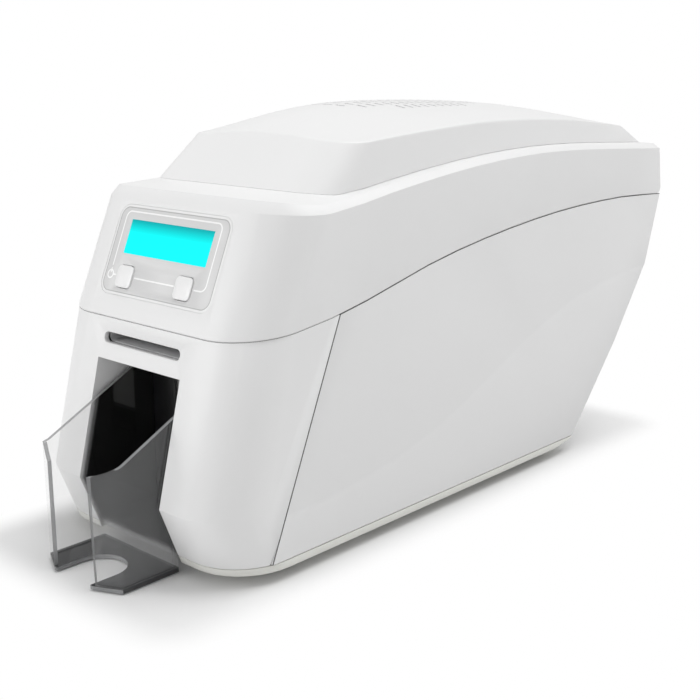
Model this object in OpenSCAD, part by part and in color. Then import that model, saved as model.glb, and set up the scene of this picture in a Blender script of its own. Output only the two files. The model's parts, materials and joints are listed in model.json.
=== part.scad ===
// Id card printer with a hinged cover, a card slot, an output stacker and a card magazine.
// X runs across the printer, Y from front to back and Z up. The origin is under the middle of the
// whole machine, on the surface that it stands on. Heights count from that surface, and depths in
// the values below count from the top edge of the front opening.

/* [Casing] */
// Width of the casing
casing_w = 151.4; // [148:0.2:164]
// Depth of the casing behind the top edge of the front opening
rear_y = 382.8; // [376:0.2:400]
// Height of the rubber feet
foot_h = 6.5; // [5:0.5:8]
// Radius of a rubber foot
foot_r = 9; // [6:0.5:11]
// Height of the tray lip that shows under the panels
lip_h = 4; // [3:0.25:5]
// Wall of the moulded shells
wall = 2.6; // [2:0.1:3]
// Gap between neighbouring shells
seam_gap = 0.4; // [0.3:0.05:0.6]
// Radius of the two upright front corners
corner_r = 30; // [24:0.5:34]
// Height of the chin, the foremost line of the casing
chin_z = 37.5; // [34:0.5:42]
// How far the chin stands in front of the top edge of the opening
chin_out = 14.5; // [12:0.5:17]
// How far the front runs back from the chin to the tray
undercut = 11.9; // [8:0.1:13]
// Height of the cover seam at the front
seam_z = 119.4; // [118:0.2:122]
// Setback of the cover seam at the front
seam_y = 6.2; // [5:0.1:7]
// Lean of the front seam between bezel and side panels, in degrees
seam_lean = 22.5; // [20:0.5:25]
// Height of the kink in the back
kink_z = 112.8; // [108:0.2:114]
// Setback of the kink from the back edge
kink_in = 14.7; // [12:0.1:17]
// Setback of the tray's back edge from the back edge of the casing
tail_in = 98.6; // [94:0.2:104]
// Length of the chamfer under the tray's back edge
tail_chamfer = 18.6; // [12:0.2:22]

/* [Cover] */
// Lean of the control face, in degrees
cover_lean = 22.9; // [21:0.1:24]
// Height of the front edge under the deck's chamfer
deck_edge_z = 176.8; // [175.6:0.2:178]
// Width of the chamfer round the deck
chamfer_w = 4.5; // [3:0.1:6]
// Rise of the chamfer round the deck
chamfer_h = 3.2; // [2:0.1:4]
// Height of the deck at its front
deck_front_z = 182.3; // [181.5:0.1:183.5]
// Height of the deck beside the middle of the hood
deck_mid_z = 195.6; // [194:0.1:197]
// Height of the deck at the back
deck_rear_z = 191.6; // [190:0.1:193]
// Radius of the rounded hinge edge at the back of the cover
hinge_edge_r = 3.4; // [3.2:0.1:4]
// Radius of the hinge pins
hinge_pin_r = 1.5; // [1.2:0.1:1.7]
// Distance of each hinge from the middle plane
hinge_x = 50; // [44:1:56]

/* [Hood] */
// Width of the hood at its foot
hood_w = 131; // [122:0.5:134]
// Setback of the hood's front foot
hood_front_y = 60; // [56:0.5:66]
// Lean of the hood's front wall, in degrees
hood_lean = 48; // [44:0.5:52]
// Lean of the hood's side walls, in degrees
hood_side_lean = 10; // [6:0.5:12]
// Radius of the hood's front corners
hood_r = 21; // [18:0.5:26]
// Height of the hood's crown
crown_z = 223; // [219:0.1:226]
// Height of the hood's side edge at its highest
hood_edge_z = 212.5; // [210:0.1:214]
// Number of rows in the vent field
vent_rows = 17; // [13:2:17]
// Distance between vent rows
vent_pitch = 7; // [6.8:0.1:7.4]
// Width of a vent slot
vent_slot = 1.8; // [1.4:0.1:2.2]

/* [Front] */
// Width of the front opening
opening_w = 65; // [64:0.5:68]
// Height of the top edge of the front opening
opening_top_z = 98.6; // [97.5:0.1:99.5]
// Depth of the white walls round the opening
tunnel_l = 36; // [34:0.5:36.5]
// Width of the card slot
slot_w = 60; // [58:0.5:62]
// Height of the card slot
slot_h = 5.5; // [5:0.1:6]
// Height of the slot's centre line
slot_z = 109.35; // [109.2:0.05:109.6]

/* [Control panel] */
// Width of the control panel
panel_w = 86.6; // [84:0.2:90]
// Height of the control panel along the slope
panel_h = 47.6; // [46:0.2:49]
// Corner radius of the control panel
panel_r = 7; // [4:0.5:9]
// Height of the middle of the control panel above the surface
panel_z = 151.8; // [151:0.1:152.6]
// Depth of the recess for the control panel
recess = 0.7; // [0.6:0.1:1]
// Width of the display window
display_w = 64; // [60:0.5:66]
// Height of the display window along the slope
display_h = 18; // [16:0.5:19]
// Rise of the display above the middle of the panel, along the slope
display_up = 7.1; // [6.5:0.1:8]
// Width of a button
button_w = 12; // [10:0.1:12.5]
// Height of a button along the slope
button_h = 11.5; // [10:0.1:12]
// Drop of the buttons below the middle of the panel, along the slope
button_down = 13.8; // [13.2:0.1:14.4]
// Place of the left button across the panel
left_button_x = -25.3; // [-28:0.1:-22]
// Place of the right button across the panel
right_button_x = 20.8; // [18:0.1:24]
// How far a button stands proud of the panel
button_proud = 0.8; // [0.6:0.1:1.2]

/* [Cards] */
// Width of a card
card_w = 54; // [53.5:0.1:54.5]
// Length of a card
card_l = 85.6; // [85:0.1:86]
// Height of the stack of blank cards
stack_h = 34; // [20:1:40]
// Height of the lower face of a card in the card path
path_z = 107.6; // [107.4:0.1:107.8]

/* [Rollers and drive] */
// Radius of the driven rollers
roller_r = 6.5; // [6:0.1:6.6]
// Radius of the roller shafts
shaft_r = 2.5; // [2:0.1:3]
// Radius of the pinch rollers
pinch_r = 4.5; // [4:0.1:5]
// Radius of the pick roller
pick_r = 5.5; // [5:0.1:5.6]
// Radial running clearance of a shaft in its plate
run = 0.05; // [0.03:0.01:0.1]
// Depth of the front roller pair
front_roller_y = 45; // [44:0.5:48]
// Depth of the middle roller pair
middle_roller_y = 130; // [129:0.5:131]
// Depth of the platen roller under the printhead
platen_y = 160; // [159:0.5:161]
// Depth of the rear roller pair
rear_roller_y = 240; // [236:0.5:246]
// Depth of the pick roller
pick_y = 110; // [106:0.5:114]
// Tooth module of the gears
gear_m = 0.8; // [0.7:0.05:0.8]
// Width of the gears
gear_w = 4; // [3:0.5:5]
// Teeth of the motor pinion
pinion_teeth = 20; // [18:1:22]
// Teeth of the platen gear
platen_teeth = 72; // [66:1:74]
// Teeth of the ribbon motor's pinion
ribbon_pinion_teeth = 14; // [13:1:16]
// Teeth of the take-up spool's gear
takeup_teeth = 36; // [32:1:38]

/* [Chassis] */
// Distance between the inner faces of the two chassis plates
chassis_w = 77; // [76:0.5:80]
// Thickness of the chassis plates
plate_t = 1.5; // [1.2:0.1:2]
// Radius of the tie rods
tie_r = 3; // [2.5:0.1:3.5]

/* [Ribbon] */
// Width of the ribbon film
film_w = 58; // [55:0.5:59]
// Thickness of the ribbon film as modelled
film_t = 0.3; // [0.25:0.05:0.35]
// Radius of the wound supply roll
supply_r = 16; // [12:0.5:17]
// Radius of the wound take-up roll
takeup_r = 11; // [9.5:0.5:13]
// Height of the spool axes
spool_z = 136; // [135:0.5:138]
// Depth of the supply spool
supply_y = 216; // [212:0.5:220]
// Depth of the take-up spool
takeup_y = 108; // [104:0.5:109]

/* [Stacker and magazine] */
// Clearance beside the output stacker in the front opening, on each side
stacker_play = 2; // [1.5:0.1:3]
// Wall of the output stacker
stacker_t = 2; // [1.6:0.1:2.4]
// How far the stacker's corners stand in front of the opening's top edge
stacker_out = 36; // [33:0.5:38]
// How far the stacker's flange tips stand in front of its corners
flange_out = 7; // [5:0.5:8]
// Width of the finger gap between the flanges
finger_gap = 32; // [28:0.5:34]
// Clearance under the output stacker
stacker_lift = 0.7; // [0.5:0.1:1]
// Height of the stacker's front corners
stacker_corner_z = 62; // [58:0.5:65]
// Height of the stacker's flange tips
stacker_tip_z = 56; // [52:0.5:57]
// Wall of the card magazine
magazine_t = 2; // [1.6:0.1:2.2]
// Height of the top of the magazine's side walls
magazine_top_z = 93; // [92:0.1:93.2]

/* [Hidden] */
$fn = 48;
white = "white";
ivory = "ivory";
steel = "silver";
dark = "dimgray";
black = "black";
half_w = casing_w / 2;
// How far a cutter runs past what it cuts
over = 1;
far = 500;
stacker_w = opening_w - 2 * stacker_play;
tray_z = foot_h + lip_h;
floor_t = wall;
floor_z = foot_h + floor_t;
hinge_y = rear_y - hinge_edge_r;
rear_seam_z = 158.8;
hinge_z = rear_seam_z + hinge_edge_r;
kink_y = rear_y - kink_in;
tail_y = rear_y - tail_in;
tail_rise = 2.7;
tail_z = foot_h + tail_rise;
rear_top_in = 4.8;
rear_top_y = rear_y - rear_top_in;
stacker_front_y = -stacker_out - flange_out;
mid_y = (rear_y + stacker_front_y) / 2;
roller_z = path_z - roller_r;
pinch_gap = 0.9;
pinch_z = path_z + pinch_gap + pinch_r;
// Drop from the card path to the top of the stack of blank cards, and the pick roller's gap over it
feed_drop = 14;
pick_gap = 0.5;
stack_top_z = path_z - feed_drop;
pick_z = stack_top_z + pick_gap + pick_r;
plate_x = chassis_w / 2;
sky = 260;
corner_steps = 9;
side_steps = 14;
rim_in = 12;
rim_side = 7.5;
rim_w = hood_w / 2 - rim_side;
rim_r = 17;
deck_edge_y = seam_y + (deck_edge_z - seam_z) * tan(cover_lean);

// Knots of the long curves as [depth, height]
seam_line = [[6, seam_z], [66, 126.5], [150, 145.2], [240, 157], [320, 160.7], [rear_y, rear_seam_z]];
edge_line = [[30, deck_edge_z - 0.4], [62, 175.6], [120, 184], [190, 191.4], [260, 193.4],
    [rear_y, deck_rear_z - chamfer_h]];
rim_line = [[34, deck_front_z - 0.3], [62, 179.6], [120, 187], [190, 194.3], [260, 196.4],
    [rear_y, deck_rear_z]];
deck_line = [[34, deck_front_z], [62, 184.2], [100, 185], [150, 191.2], [210, deck_mid_z],
    [265, deck_mid_z + 1.4], [345, 194.2], [rear_y, deck_rear_z]];
hood_edge_line = [[50, 201], [88, 204.9], [150, 209.7], [210, hood_edge_z], [280, 210.7], [348, 204.2],
    [rear_y, 199]];
crown_line = [[50, 199], [85, 209.5], [131, 221], [185, crown_z], [279, 218.7], [348, 208], [rear_y, 202]];

// Smooth curve through knots: a cubic between each pair, with the slope of the neighbours
function span(p, y, i = 0) = i >= len(p) - 2 || y < p[i + 1][0] ? i : span(p, y, i + 1);
function slope(p, i) =
    let (a = max(i - 1, 0), b = min(i + 1, len(p) - 1))
    (p[b][1] - p[a][1]) / (p[b][0] - p[a][0]);
function through(p, depth) =
    let (y = min(max(depth, p[0][0]), p[len(p) - 1][0]))
    let (i = span(p, y))
    let (h = p[i + 1][0] - p[i][0])
    let (t = (y - p[i][0]) / h)
    let (start = (2 * t * t * t - 3 * t * t + 1) * p[i][1])
    let (stop = (3 * t * t - 2 * t * t * t) * p[i + 1][1])
    let (rise = (t * t * t - 2 * t * t + t) * h * slope(p, i))
    let (settle = (t * t * t - t * t) * h * slope(p, i + 1))
    start + stop + rise + settle;
// Depth of the front face at a height below the cover seam
function front_y(z) = z < chin_z
    ? -chin_out + (chin_z - z) * undercut / (chin_z - foot_h)
    : seam_y - (seam_z - z) * (seam_y + chin_out) / (seam_z - chin_z);
// Depth of the slanting seam between bezel and side panels, from its top end
side_seam_top = [66, 126];
function side_seam_y(z) = side_seam_top[0] + (z - side_seam_top[1]) * tan(seam_lean);

// Puts the machine's own frame over the middle of what it stands on
module centred() translate([0, -mid_y, 0]) children();
// Pushes a profile drawn in depth and height along X
module along_x(x0, length) translate([x0, 0, 0]) rotate([90, 0, 90]) linear_extrude(length) children();
module across(half) along_x(-half, 2 * half) children();
module both_sides() {
    children();
    mirror([1, 0, 0]) children();
}
module rod_x(y, z, r, x0, length) translate([x0, y, z]) rotate([0, 90, 0]) cylinder(r = r, h = length);
module block(low, high) translate(low) cube(high - low);
// Everything between two heights
module layer(z0, z1) block([-far, -far, z0], [far, far, z1]);
module rounded(w, h, r) {
    square([w - 2 * r, h], center = true);
    square([w, h - 2 * r], center = true);
    for (sx = [-1, 1]) {
        for (sy = [-1, 1]) {
            translate([sx * (w / 2 - r), sy * (h / 2 - r)]) circle(r);
        }
    }
}
// Solid between rings of equal length, closed at both ends
module loft(rings) {
    n = len(rings[0]);
    count = len(rings);
    points = [for (ring = rings) for (p = ring) p];
    sides = [for (k = [0:count - 2]) for (i = [0:n - 1]) for (s = [0, 1])
        let (a = k * n + i, b = k * n + (i + 1) % n)
        s == 0 ? [a, a + n, b] : [b, a + n, b + n]];
    caps = [for (i = [1:n - 2]) for (s = [0, 1])
        let (last = (count - 1) * n)
        s == 0 ? [0, i, i + 1] : [last, last + i + 1, last + i]];
    polyhedron(points, concat(sides, caps));
}

// Plan outline with two round front corners, set in from the outside
module plan(inset, r) {
    turn = 90 / corner_steps;
    polygon(concat(
        [for (a = [180:turn:270]) [r - half_w + (r - inset) * cos(a), r + (r - inset) * sin(a)]],
        [for (a = [270:turn:360]) [half_w - r + (r - inset) * cos(a), r + (r - inset) * sin(a)]],
        [[half_w - inset, far + rear_y], [inset - half_w, far + rear_y]]));
}
// The plan outline as a long column that leans back by an angle
module column(lean, y, z, inset) {
    translate([0, y, z]) rotate([-lean, 0, 0]) translate([0, 0, -far]) linear_extrude(2 * far)
        plan(inset, corner_r);
}

// Corner in the lower back, and how much wider a slanting wall is when measured level
knee_in = 34.9;
knee_z = 65;
back_slant = 1.2;
tail_slant = 1.3;
// Height to which the profile goes on above the seam, and how far it leans back there
above_z = 175;
above_in = 20;
module lower_outline(inset) {
    drop = inset > 0 ? 5 * over : 0;
    polygon([
        [front_y(foot_h) + inset, foot_h - drop],
        [inset - chin_out, chin_z],
        [seam_y + inset, seam_z],
        [seam_y + above_in + inset, above_z],
        [rear_y - inset, above_z],
        [rear_y - inset, rear_seam_z],
        [kink_y - back_slant * inset, kink_z],
        [kink_y - knee_in - tail_slant * inset, knee_z],
        [tail_y - tail_slant * inset, tail_z],
        [tail_y - tail_chamfer, foot_h - drop]
    ]);
}
// The casing below the cover seam as a solid, set in from its outside
module lower_body(inset) {
    bezel_lean = atan((seam_y + chin_out) / (seam_z - chin_z));
    chin_lean = -atan(undercut / (chin_z - foot_h));
    intersection() {
        across(half_w + over) lower_outline(inset);
        column(bezel_lean, seam_y, seam_z, inset);
        column(chin_lean, -chin_out, chin_z, inset);
    }
}
// Depths at which the cover's lower edge has its corners
seam_depths = concat([for (a = [270:-90 / corner_steps:180]) seam_y + corner_r + corner_r * sin(a)],
    [for (k = [1:side_steps]) seam_y + corner_r + k * (hinge_y - seam_y - corner_r) / side_steps]);
// Everything under the cover seam, less a gap
module under_seam(gap) across(half_w + over) polygon(concat(
    [[-far, seam_z - gap]], [for (y = seam_depths) [y, through(seam_line, y) - gap]],
    [[far, rear_seam_z - gap], [far, 0], [-far, 0]]));
module lower_shell() difference() {
    intersection() {
        lower_body(0);
        under_seam(seam_gap);
        layer(tray_z + seam_gap / 2, sky);
    }
    lower_body(wall);
}
// The region behind the slanting seam, shifted by half the gap
module behind_seam(shift) across(half_w + over) polygon([
    [side_seam_y(0) + shift, 0], [side_seam_y(sky) + shift, sky], [far, sky], [far, 0]]);

// The magazine stands on two rails of the tray, a floor's thickness above the seam line
magazine_y = 32;
magazine_lift = 2;
magazine_z = tray_z + magazine_lift;
rail_x = 24;
rail_w = 4;
rail_l = 90;
rail_in = 2;
rail_gap = 0.3;
module magazine_rails() both_sides() block([rail_x, magazine_y + rail_in, floor_z - over],
    [rail_x + rail_w, magazine_y + rail_in + rail_l, magazine_z - rail_gap]);
// Inner rim of the tray that centres the panels, and the notch in it for the stacker
lip_in_h = 6;
lip_t = 2;
notch_in = 6;
notch_play = 0.5;
module base_tray() color(ivory) centred() difference() {
    union() {
        intersection() {
            lower_body(0);
            layer(foot_h, tray_z - seam_gap / 2);
        }
        intersection() {
            lower_body(wall + seam_gap);
            layer(foot_h, tray_z + lip_in_h);
        }
    }
    difference() {
        intersection() {
            lower_body(wall + seam_gap + lip_t);
            layer(floor_z, tray_z + 2 * lip_in_h);
        }
        magazine_rails();
    }
    block([-opening_w / 2 - notch_play, -far, 0], [opening_w / 2 + notch_play, tunnel_l - notch_in, far]);
}
foot_in = 19.7;
foot_depths = [34, 246];
module rubber_feet() color(dark) centred() both_sides() {
    for (y = foot_depths) translate([half_w - foot_in, y, 0]) cylinder(r = foot_r, h = foot_h);
}

module opening_cut(grow, top) {
    block([-opening_w / 2 - grow, -far, -over], [opening_w / 2 + grow, far, top]);
}
module slot_shape(w, h) {
    square([w - h, h], center = true);
    for (s = [-1, 1]) translate([s * (w - h) / 2, 0]) circle(h / 2);
}
module slot_cut(grow, y0, y1) translate([0, y1, slot_z]) rotate([90, 0, 0]) linear_extrude(y1 - y0)
    slot_shape(slot_w + 2 * grow, slot_h + 2 * grow);
// The tunnel walls stop above the tray, and higher still just behind the front
tunnel_lift = 3;
tunnel_step_y = 4;
tunnel_step_h = 9;
module front_bezel() color(white) centred() difference() {
    union() {
        difference() {
            lower_shell();
            behind_seam(-seam_gap / 2);
        }
        intersection() {
            lower_body(wall / 2);
            difference() {
                block([-opening_w / 2 - wall, -far, tray_z + tunnel_lift],
                    [opening_w / 2 + wall, tunnel_l, opening_top_z + wall]);
                block([-far, -far, 0], [far, tunnel_step_y, tray_z + tunnel_step_h]);
            }
        }
    }
    opening_cut(0, opening_top_z);
    slot_cut(0, -far, far);
}
module card_slot_liner() color(black) centred() {
    liner_t = 1.2;
    liner_gap = 0.1;
    y0 = front_y(slot_z + slot_h / 2 + liner_t) + wall + liner_gap;
    difference() {
        slot_cut(liner_t, y0, tunnel_l);
        slot_cut(-liner_gap, y0 - over, tunnel_l + over);
    }
}

// Short stiffening ribs inside the side panels
rib_depths = [110, 200, 290];
rib_low = 92;
rib_h = 20;
rib_t = 2;
rib_sink = 0.5;
module side_panel() intersection() {
    union() {
        intersection() {
            across(half_w) lower_outline(0);
            under_seam(seam_gap);
            block([half_w - wall, -far, tray_z + seam_gap / 2], [half_w, far, sky]);
        }
        for (y = rib_depths)
            block([half_w - wall - rib_t, y, rib_low], [half_w - wall + rib_sink, y + rib_t, rib_low + rib_h]);
    }
    behind_seam(seam_gap / 2);
}
module side_panel_right() color(white) centred() side_panel();
module side_panel_left() color(white) centred() mirror([1, 0, 0]) side_panel();

// Depth of the upper stretch of the back at a height, inside or outside
function back_y(z) = kink_y + (z - kink_z) * kink_in / (rear_seam_z - kink_z);
rear_top_gap = 1.4;
port_z = 127;
usb_x = -34;
usb_w = 8.4;
usb_h = 8;
net_x = -8;
net_w = 12;
net_h = 9;
power_x = 24;
power_r = 5.5;
// Clearance of the rear panel round a socket, and its air slots
port_gap = 2.2;
power_gap = 0.5;
module port(x, w, h) block([x - w / 2, kink_y - 2 * power_x, port_z - h / 2], [x + w / 2, far, port_z + h / 2]);
slot_rows = 6;
slot_row_pitch = 7;
slot_row_h = 3;
slot_row_w = 50;
slot_row_z = 40;
module rear_panel() color(white) centred() {
    half = half_w - wall - seam_gap;
    difference() {
        intersection() {
            across(half) difference() {
                lower_outline(0);
                lower_outline(wall);
            }
            block([-half, tail_y - tail_chamfer, tray_z + seam_gap / 2],
                [half, far, rear_seam_z - rear_top_gap]);
        }
        port(usb_x, usb_w + 2 * port_gap, usb_h + 2 * port_gap);
        port(net_x, net_w + 2 * port_gap, net_h + 2 * port_gap);
        translate([power_x, far, port_z]) rotate([90, 0, 0]) cylinder(r = power_r + power_gap, h = far);
        for (k = [0:slot_rows - 1]) block([-slot_row_w / 2, tail_y, slot_row_z + slot_row_pitch * k],
            [slot_row_w / 2, far, slot_row_z + slot_row_pitch * k + slot_row_h]);
    }
}

knuckle_r = 3;
knuckle_w = 12;
ear_gap = 0.4;
// The bracket's foot on the back wall: its upper and lower end, and its thickness
foot_top_z = 156;
foot_low_z = 136;
foot_slope = 4;
bracket_foot_t = 6;
module hinge_bracket_at(x) difference() {
    along_x(x - knuckle_w / 2, knuckle_w) union() {
        translate([hinge_y, hinge_z]) circle(knuckle_r);
        polygon([[hinge_y - knuckle_r, hinge_z], [hinge_y, hinge_z],
            [back_y(foot_top_z) - back_slant * wall, foot_top_z],
            [back_y(foot_low_z) - back_slant * wall, foot_low_z],
            [back_y(foot_low_z) - back_slant * wall - bracket_foot_t, foot_low_z],
            [back_y(foot_top_z - foot_slope) - back_slant * wall - bracket_foot_t, foot_top_z - foot_slope]]);
    }
    rod_x(hinge_y, hinge_z, hinge_pin_r, x - knuckle_w, 2 * knuckle_w);
}
module hinge_brackets() color(steel) centred() {
    both_sides() hinge_bracket_at(hinge_x);
}
// The pins reach through the bracket and most of both ears of the cover
ear_w = 5.4;
pin_l = 23;
module hinge_pins() color(steel) centred() {
    both_sides() rod_x(hinge_y, hinge_z, hinge_pin_r, hinge_x - pin_l / 2, pin_l);
}

// Plan outline with two round front corners: width to each side, corner radius, front and back depth
function outline(w, r, front, back) =
    let (turn = 90 / corner_steps, start = front + r, run_l = (back - start) / side_steps)
    concat(
        [for (a = [180:turn:270]) [r - w + r * cos(a), front + r + r * sin(a)]],
        [for (a = [270:turn:360]) [w - r + r * cos(a), front + r + r * sin(a)]],
        [for (k = [1:side_steps]) [w, start + k * run_l]],
        [for (k = [side_steps:-1:1]) [-w, start + k * run_l]]);
// Lifts a plan outline on to a long curve
function lifted(points, line, rise = 0) = [for (p = points) [p[0], p[1], through(line, p[1]) + rise]];
cover_rings = [
    lifted(outline(half_w, corner_r, seam_y, hinge_y), seam_line),
    lifted(outline(half_w, corner_r, seam_y + 0.4, hinge_y + 0.71 * hinge_edge_r), seam_line,
        0.29 * hinge_edge_r),
    lifted(outline(half_w, corner_r, seam_y + hinge_edge_r * tan(cover_lean), rear_y), seam_line, hinge_edge_r),
    lifted(outline(half_w, corner_r, deck_edge_y, rear_top_y), edge_line),
    lifted(outline(half_w - chamfer_w, corner_r - chamfer_w, deck_edge_y + chamfer_w, rear_top_y - 1),
        rim_line),
    lifted(outline(rim_w, rim_r, hood_front_y + rim_in, rear_top_y - 2 * rim_in), deck_line),
    lifted(outline(rim_w, rim_r, hood_front_y + rim_in, rear_top_y - 2 * rim_in), deck_line, -wall),
    lifted(outline(half_w - chamfer_w - wall / 2, corner_r - chamfer_w, deck_edge_y + chamfer_w + wall,
        rear_top_y - 1 - wall), rim_line, -wall),
    lifted(outline(half_w - wall, corner_r - wall, deck_edge_y + 1.1 * wall - tan(cover_lean),
        rear_top_y - wall),
        edge_line, -1),
    lifted(outline(half_w - wall, corner_r - wall, seam_y + 1.1 * wall, hinge_y - wall), seam_line)
];
// Solid ring: a closed band of cross-sections that runs round and meets itself
module band(rings) {
    n = len(rings[0]);
    m = len(rings);
    polyhedron([for (ring = rings) for (p = ring) p],
        [for (k = [0:m - 1]) for (i = [0:n - 1]) for (s = [0, 1])
            let (j = (i + 1) % n, next = ((k + 1) % m) * n)
            let (a = k * n + i, b = k * n + j, c = next + i, d = next + j)
            s == 0 ? [a, c, b] : [b, c, d]]);
}
module on_panel(lift) translate([0, seam_y + (panel_z - seam_z) * tan(cover_lean), panel_z])
    rotate([90 - cover_lean, 0, 0]) translate([0, 0, lift]) children();
module button_place(x) translate([x, -button_down, 0]) children();
ear_places = [hinge_x - knuckle_w / 2 - ear_gap - ear_w, hinge_x + knuckle_w / 2 + ear_gap];
button_clear = 0.35;
button_r = 2.6;
module button_hole()
    rounded(button_w + 2 * button_clear, button_h + 2 * button_clear, button_r + button_clear / 2);
module display_area(inset) translate([inset - display_w / 2, display_up + inset - display_h / 2])
    square([display_w - 2 * inset, display_h - 2 * inset]);
ear_r = hinge_edge_r - 0.3;
ear_h = 10;
// Rim of the cover behind the display, and the room that the bracket has to swing in
window_rim = 1;
swing_in = 8;
swing_z = 2;
module cover_shell() color(white) centred() difference() {
    union() {
        band(cover_rings);
        both_sides() for (x = ear_places) along_x(x, ear_w) {
            translate([hinge_y, hinge_z]) circle(ear_r);
            translate([hinge_y - ear_r, hinge_z]) square([ear_r + over, ear_h]);
        }
    }
    on_panel(-recess) linear_extrude(corner_r) rounded(panel_w, panel_h, panel_r);
    on_panel(-4 * wall) linear_extrude(8 * wall) display_area(window_rim);
    for (x = [left_button_x, right_button_x]) on_panel(-4 * wall) button_place(x) linear_extrude(8 * wall)
        button_hole();
    both_sides() block([hinge_x - knuckle_w / 2 - ear_gap, hinge_y - swing_in, rear_seam_z - swing_z],
        [hinge_x + knuckle_w / 2 + ear_gap, rear_y + swing_z, hinge_z + knuckle_w / 2]);
    both_sides() rod_x(hinge_y, hinge_z, hinge_pin_r + run, hinge_x - pin_l / 2 - wall / 2, pin_l + wall);
}

// Rise of the hood's side and front walls, and the setbacks of its top and foot at the back
hood_side_h = 22;
hood_front_h = 22.5;
hood_top_in = 28.5;
hood_foot_in = 9.8;
hood_foot_lift = 0.2;
crown_w = hood_w / 2 - hood_side_h * tan(hood_side_lean);
hood_top_front = hood_front_y + hood_front_h * tan(hood_lean);
hood_top_rear = rear_top_y - hood_top_in;
hood_mid_y = (hood_top_front + hood_top_rear) / 2;
// Height of the crowned top at a place in plan
function hood_z(x, y) =
    let (e = through(hood_edge_line, y), c = through(crown_line, y))
    c - (c - e) * pow(x / crown_w, 2);
// The hood's top edge drawn in towards its middle by a share, on the crowned top
function crown_ring(share, inset) = [for (p = outline(crown_w - inset, hood_r - inset,
        hood_top_front + inset, hood_top_rear - inset))
    let (x = p[0] * share, y = hood_mid_y + (p[1] - hood_mid_y) * share) [x, y, hood_z(x, y) - inset]];
function foot_ring(inset) = lifted(outline(hood_w / 2 - inset, hood_r - inset,
    hood_front_y + inset / cos(hood_lean), rear_top_y - hood_foot_in - inset / cos(hood_lean)), deck_line,
    hood_foot_lift);
shares = [0.08, 0.3, 0.55, 0.8, 1];
hood_rings = concat(
    [for (s = shares) crown_ring(s, 0)], [foot_ring(0)],
    [foot_ring(wall)], [for (k = [len(shares) - 1:-1:0]) crown_ring(shares[k], wall)]);
// The vent rows form a lens: the widest in the middle, and the ends of all on an ellipse
vent_mid_y = 192.6;
vent_w = 74;
half_rows = (vent_rows - 1) / 2;
module vent_row(k) {
    y = vent_mid_y + k * vent_pitch;
    w = vent_w * sqrt(1 - pow(k / (half_rows + 1), 2));
    block([-w / 2, y, deck_rear_z], [w / 2, y + vent_slot, sky]);
}
module hood() color(white) centred() difference() {
    loft(hood_rings);
    for (k = [-half_rows:half_rows]) vent_row(k);
}

// The film, the window and the lit screen lie in the recess, a hair apart
overlay_t = 0.5;
overlay_lift = 0.05 - recess;
overlay_play = 0.15;
window_play = 0.1;
screen_gap = 0.1;
screen_t = 1;
screen_in = window_rim + 3 * screen_gap;
module overlay_outline() difference() {
    rounded(panel_w - 2 * overlay_play, panel_h - 2 * overlay_play, panel_r - overlay_play);
    display_area(0);
    for (x = [left_button_x, right_button_x]) button_place(x) button_hole();
}
module panel_overlay() color("gainsboro") centred() on_panel(overlay_lift)
    linear_extrude(overlay_t) overlay_outline();
module display_window() color("cyan", 0.4) centred() on_panel(overlay_lift) linear_extrude(overlay_t)
    display_area(window_play);
module display_screen() color("cyan") centred() on_panel(overlay_lift - screen_gap - screen_t)
    linear_extrude(screen_t) display_area(screen_in);

// The display module is wider than the window, and the panel's board carries both and the switches
module_side = 6;
module_rise = 5.5;
module_w = display_w + 2 * module_side;
module_h = display_h + 2 * module_rise;
module_t = 7;
board_side = 6;
board_h = 46;
board_t = 1.6;
spacer_r = 2;
spacer_x = module_w / 2 + spacer_r + 1;
spacer_up = 20;
switch_w = 6;
switch_h = 4;
// Depth of the display module's front under the panel's plane, clear of the shell's inner face
module_in = wall + 0.45;
board_gap = 0.2;
board_lift = -module_in - board_gap - module_t - board_t;
module display_module() color(black) centred() {
    on_panel(-module_in - module_t) translate([-module_w / 2, display_up - module_h / 2, 0])
        cube([module_w, module_h, module_t]);
    on_panel(-module_in - screen_gap) linear_extrude(module_in - recess - screen_t - screen_gap)
        display_area(screen_in);
}
module panel_board() color("darkgreen") centred() on_panel(board_lift) {
    linear_extrude(board_t) square([module_w + 2 * board_side, board_h], center = true);
    for (x = [left_button_x, right_button_x]) button_place(x) translate([0, 0, board_t])
        linear_extrude(switch_h) square(switch_w, center = true);
    for (sx = [-1, 1]) {
        for (sy = [-1, 1]) translate([sx * spacer_x, sy * spacer_up, board_t])
            cylinder(r = spacer_r, h = -board_lift - board_t - module_in);
    }
}
// A button's flange behind the shell keeps it in, and its stem stops short of the switch
button_travel = 0.6;
stem_gap = 0.3;
stem_w = 4;
flange_side = 1.2;
flange_t = 1.2;
flange_lap = 0.3;
flange_in = wall + 1.7;
stem_low = board_lift + board_t + switch_h + button_travel + stem_gap;
module button(x) on_panel(0) button_place(x) {
    translate([0, 0, flange_lap - flange_in])
        linear_extrude(flange_in - flange_lap + button_proud + overlay_t - recess)
            rounded(button_w, button_h, button_r);
    translate([0, 0, -flange_in]) linear_extrude(flange_t)
        rounded(button_w + 2 * flange_side, button_h - flange_side, button_r);
    translate([0, 0, stem_low]) linear_extrude(flange_lap - flange_in - stem_low) square(stem_w, center = true);
}
module left_button() color(white) centred() button(left_button_x);
module right_button() color(white) centred() button(right_button_x);

// The printhead's carrier hangs under the cover on four posts and reaches forward to the latch
carrier_z = 168;
carrier_t = 2;
carrier_gap = 3.1;
carrier_half = half_w - wall - carrier_gap;
carrier_depths = [104, 322];
carrier_post_r = 3.5;
carrier_post_in = 4;
carrier_post_depths = [120, 300];
carrier_post_gap = 0.6;
latch_y = 74;
latch_z = 160;
latch_pin_r = 2;
ear_x = 22;
ear_t = 2;
ear_l = 10;
ear_drop = 4;
tongue_in = 6;
pin_over = 1;
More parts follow.
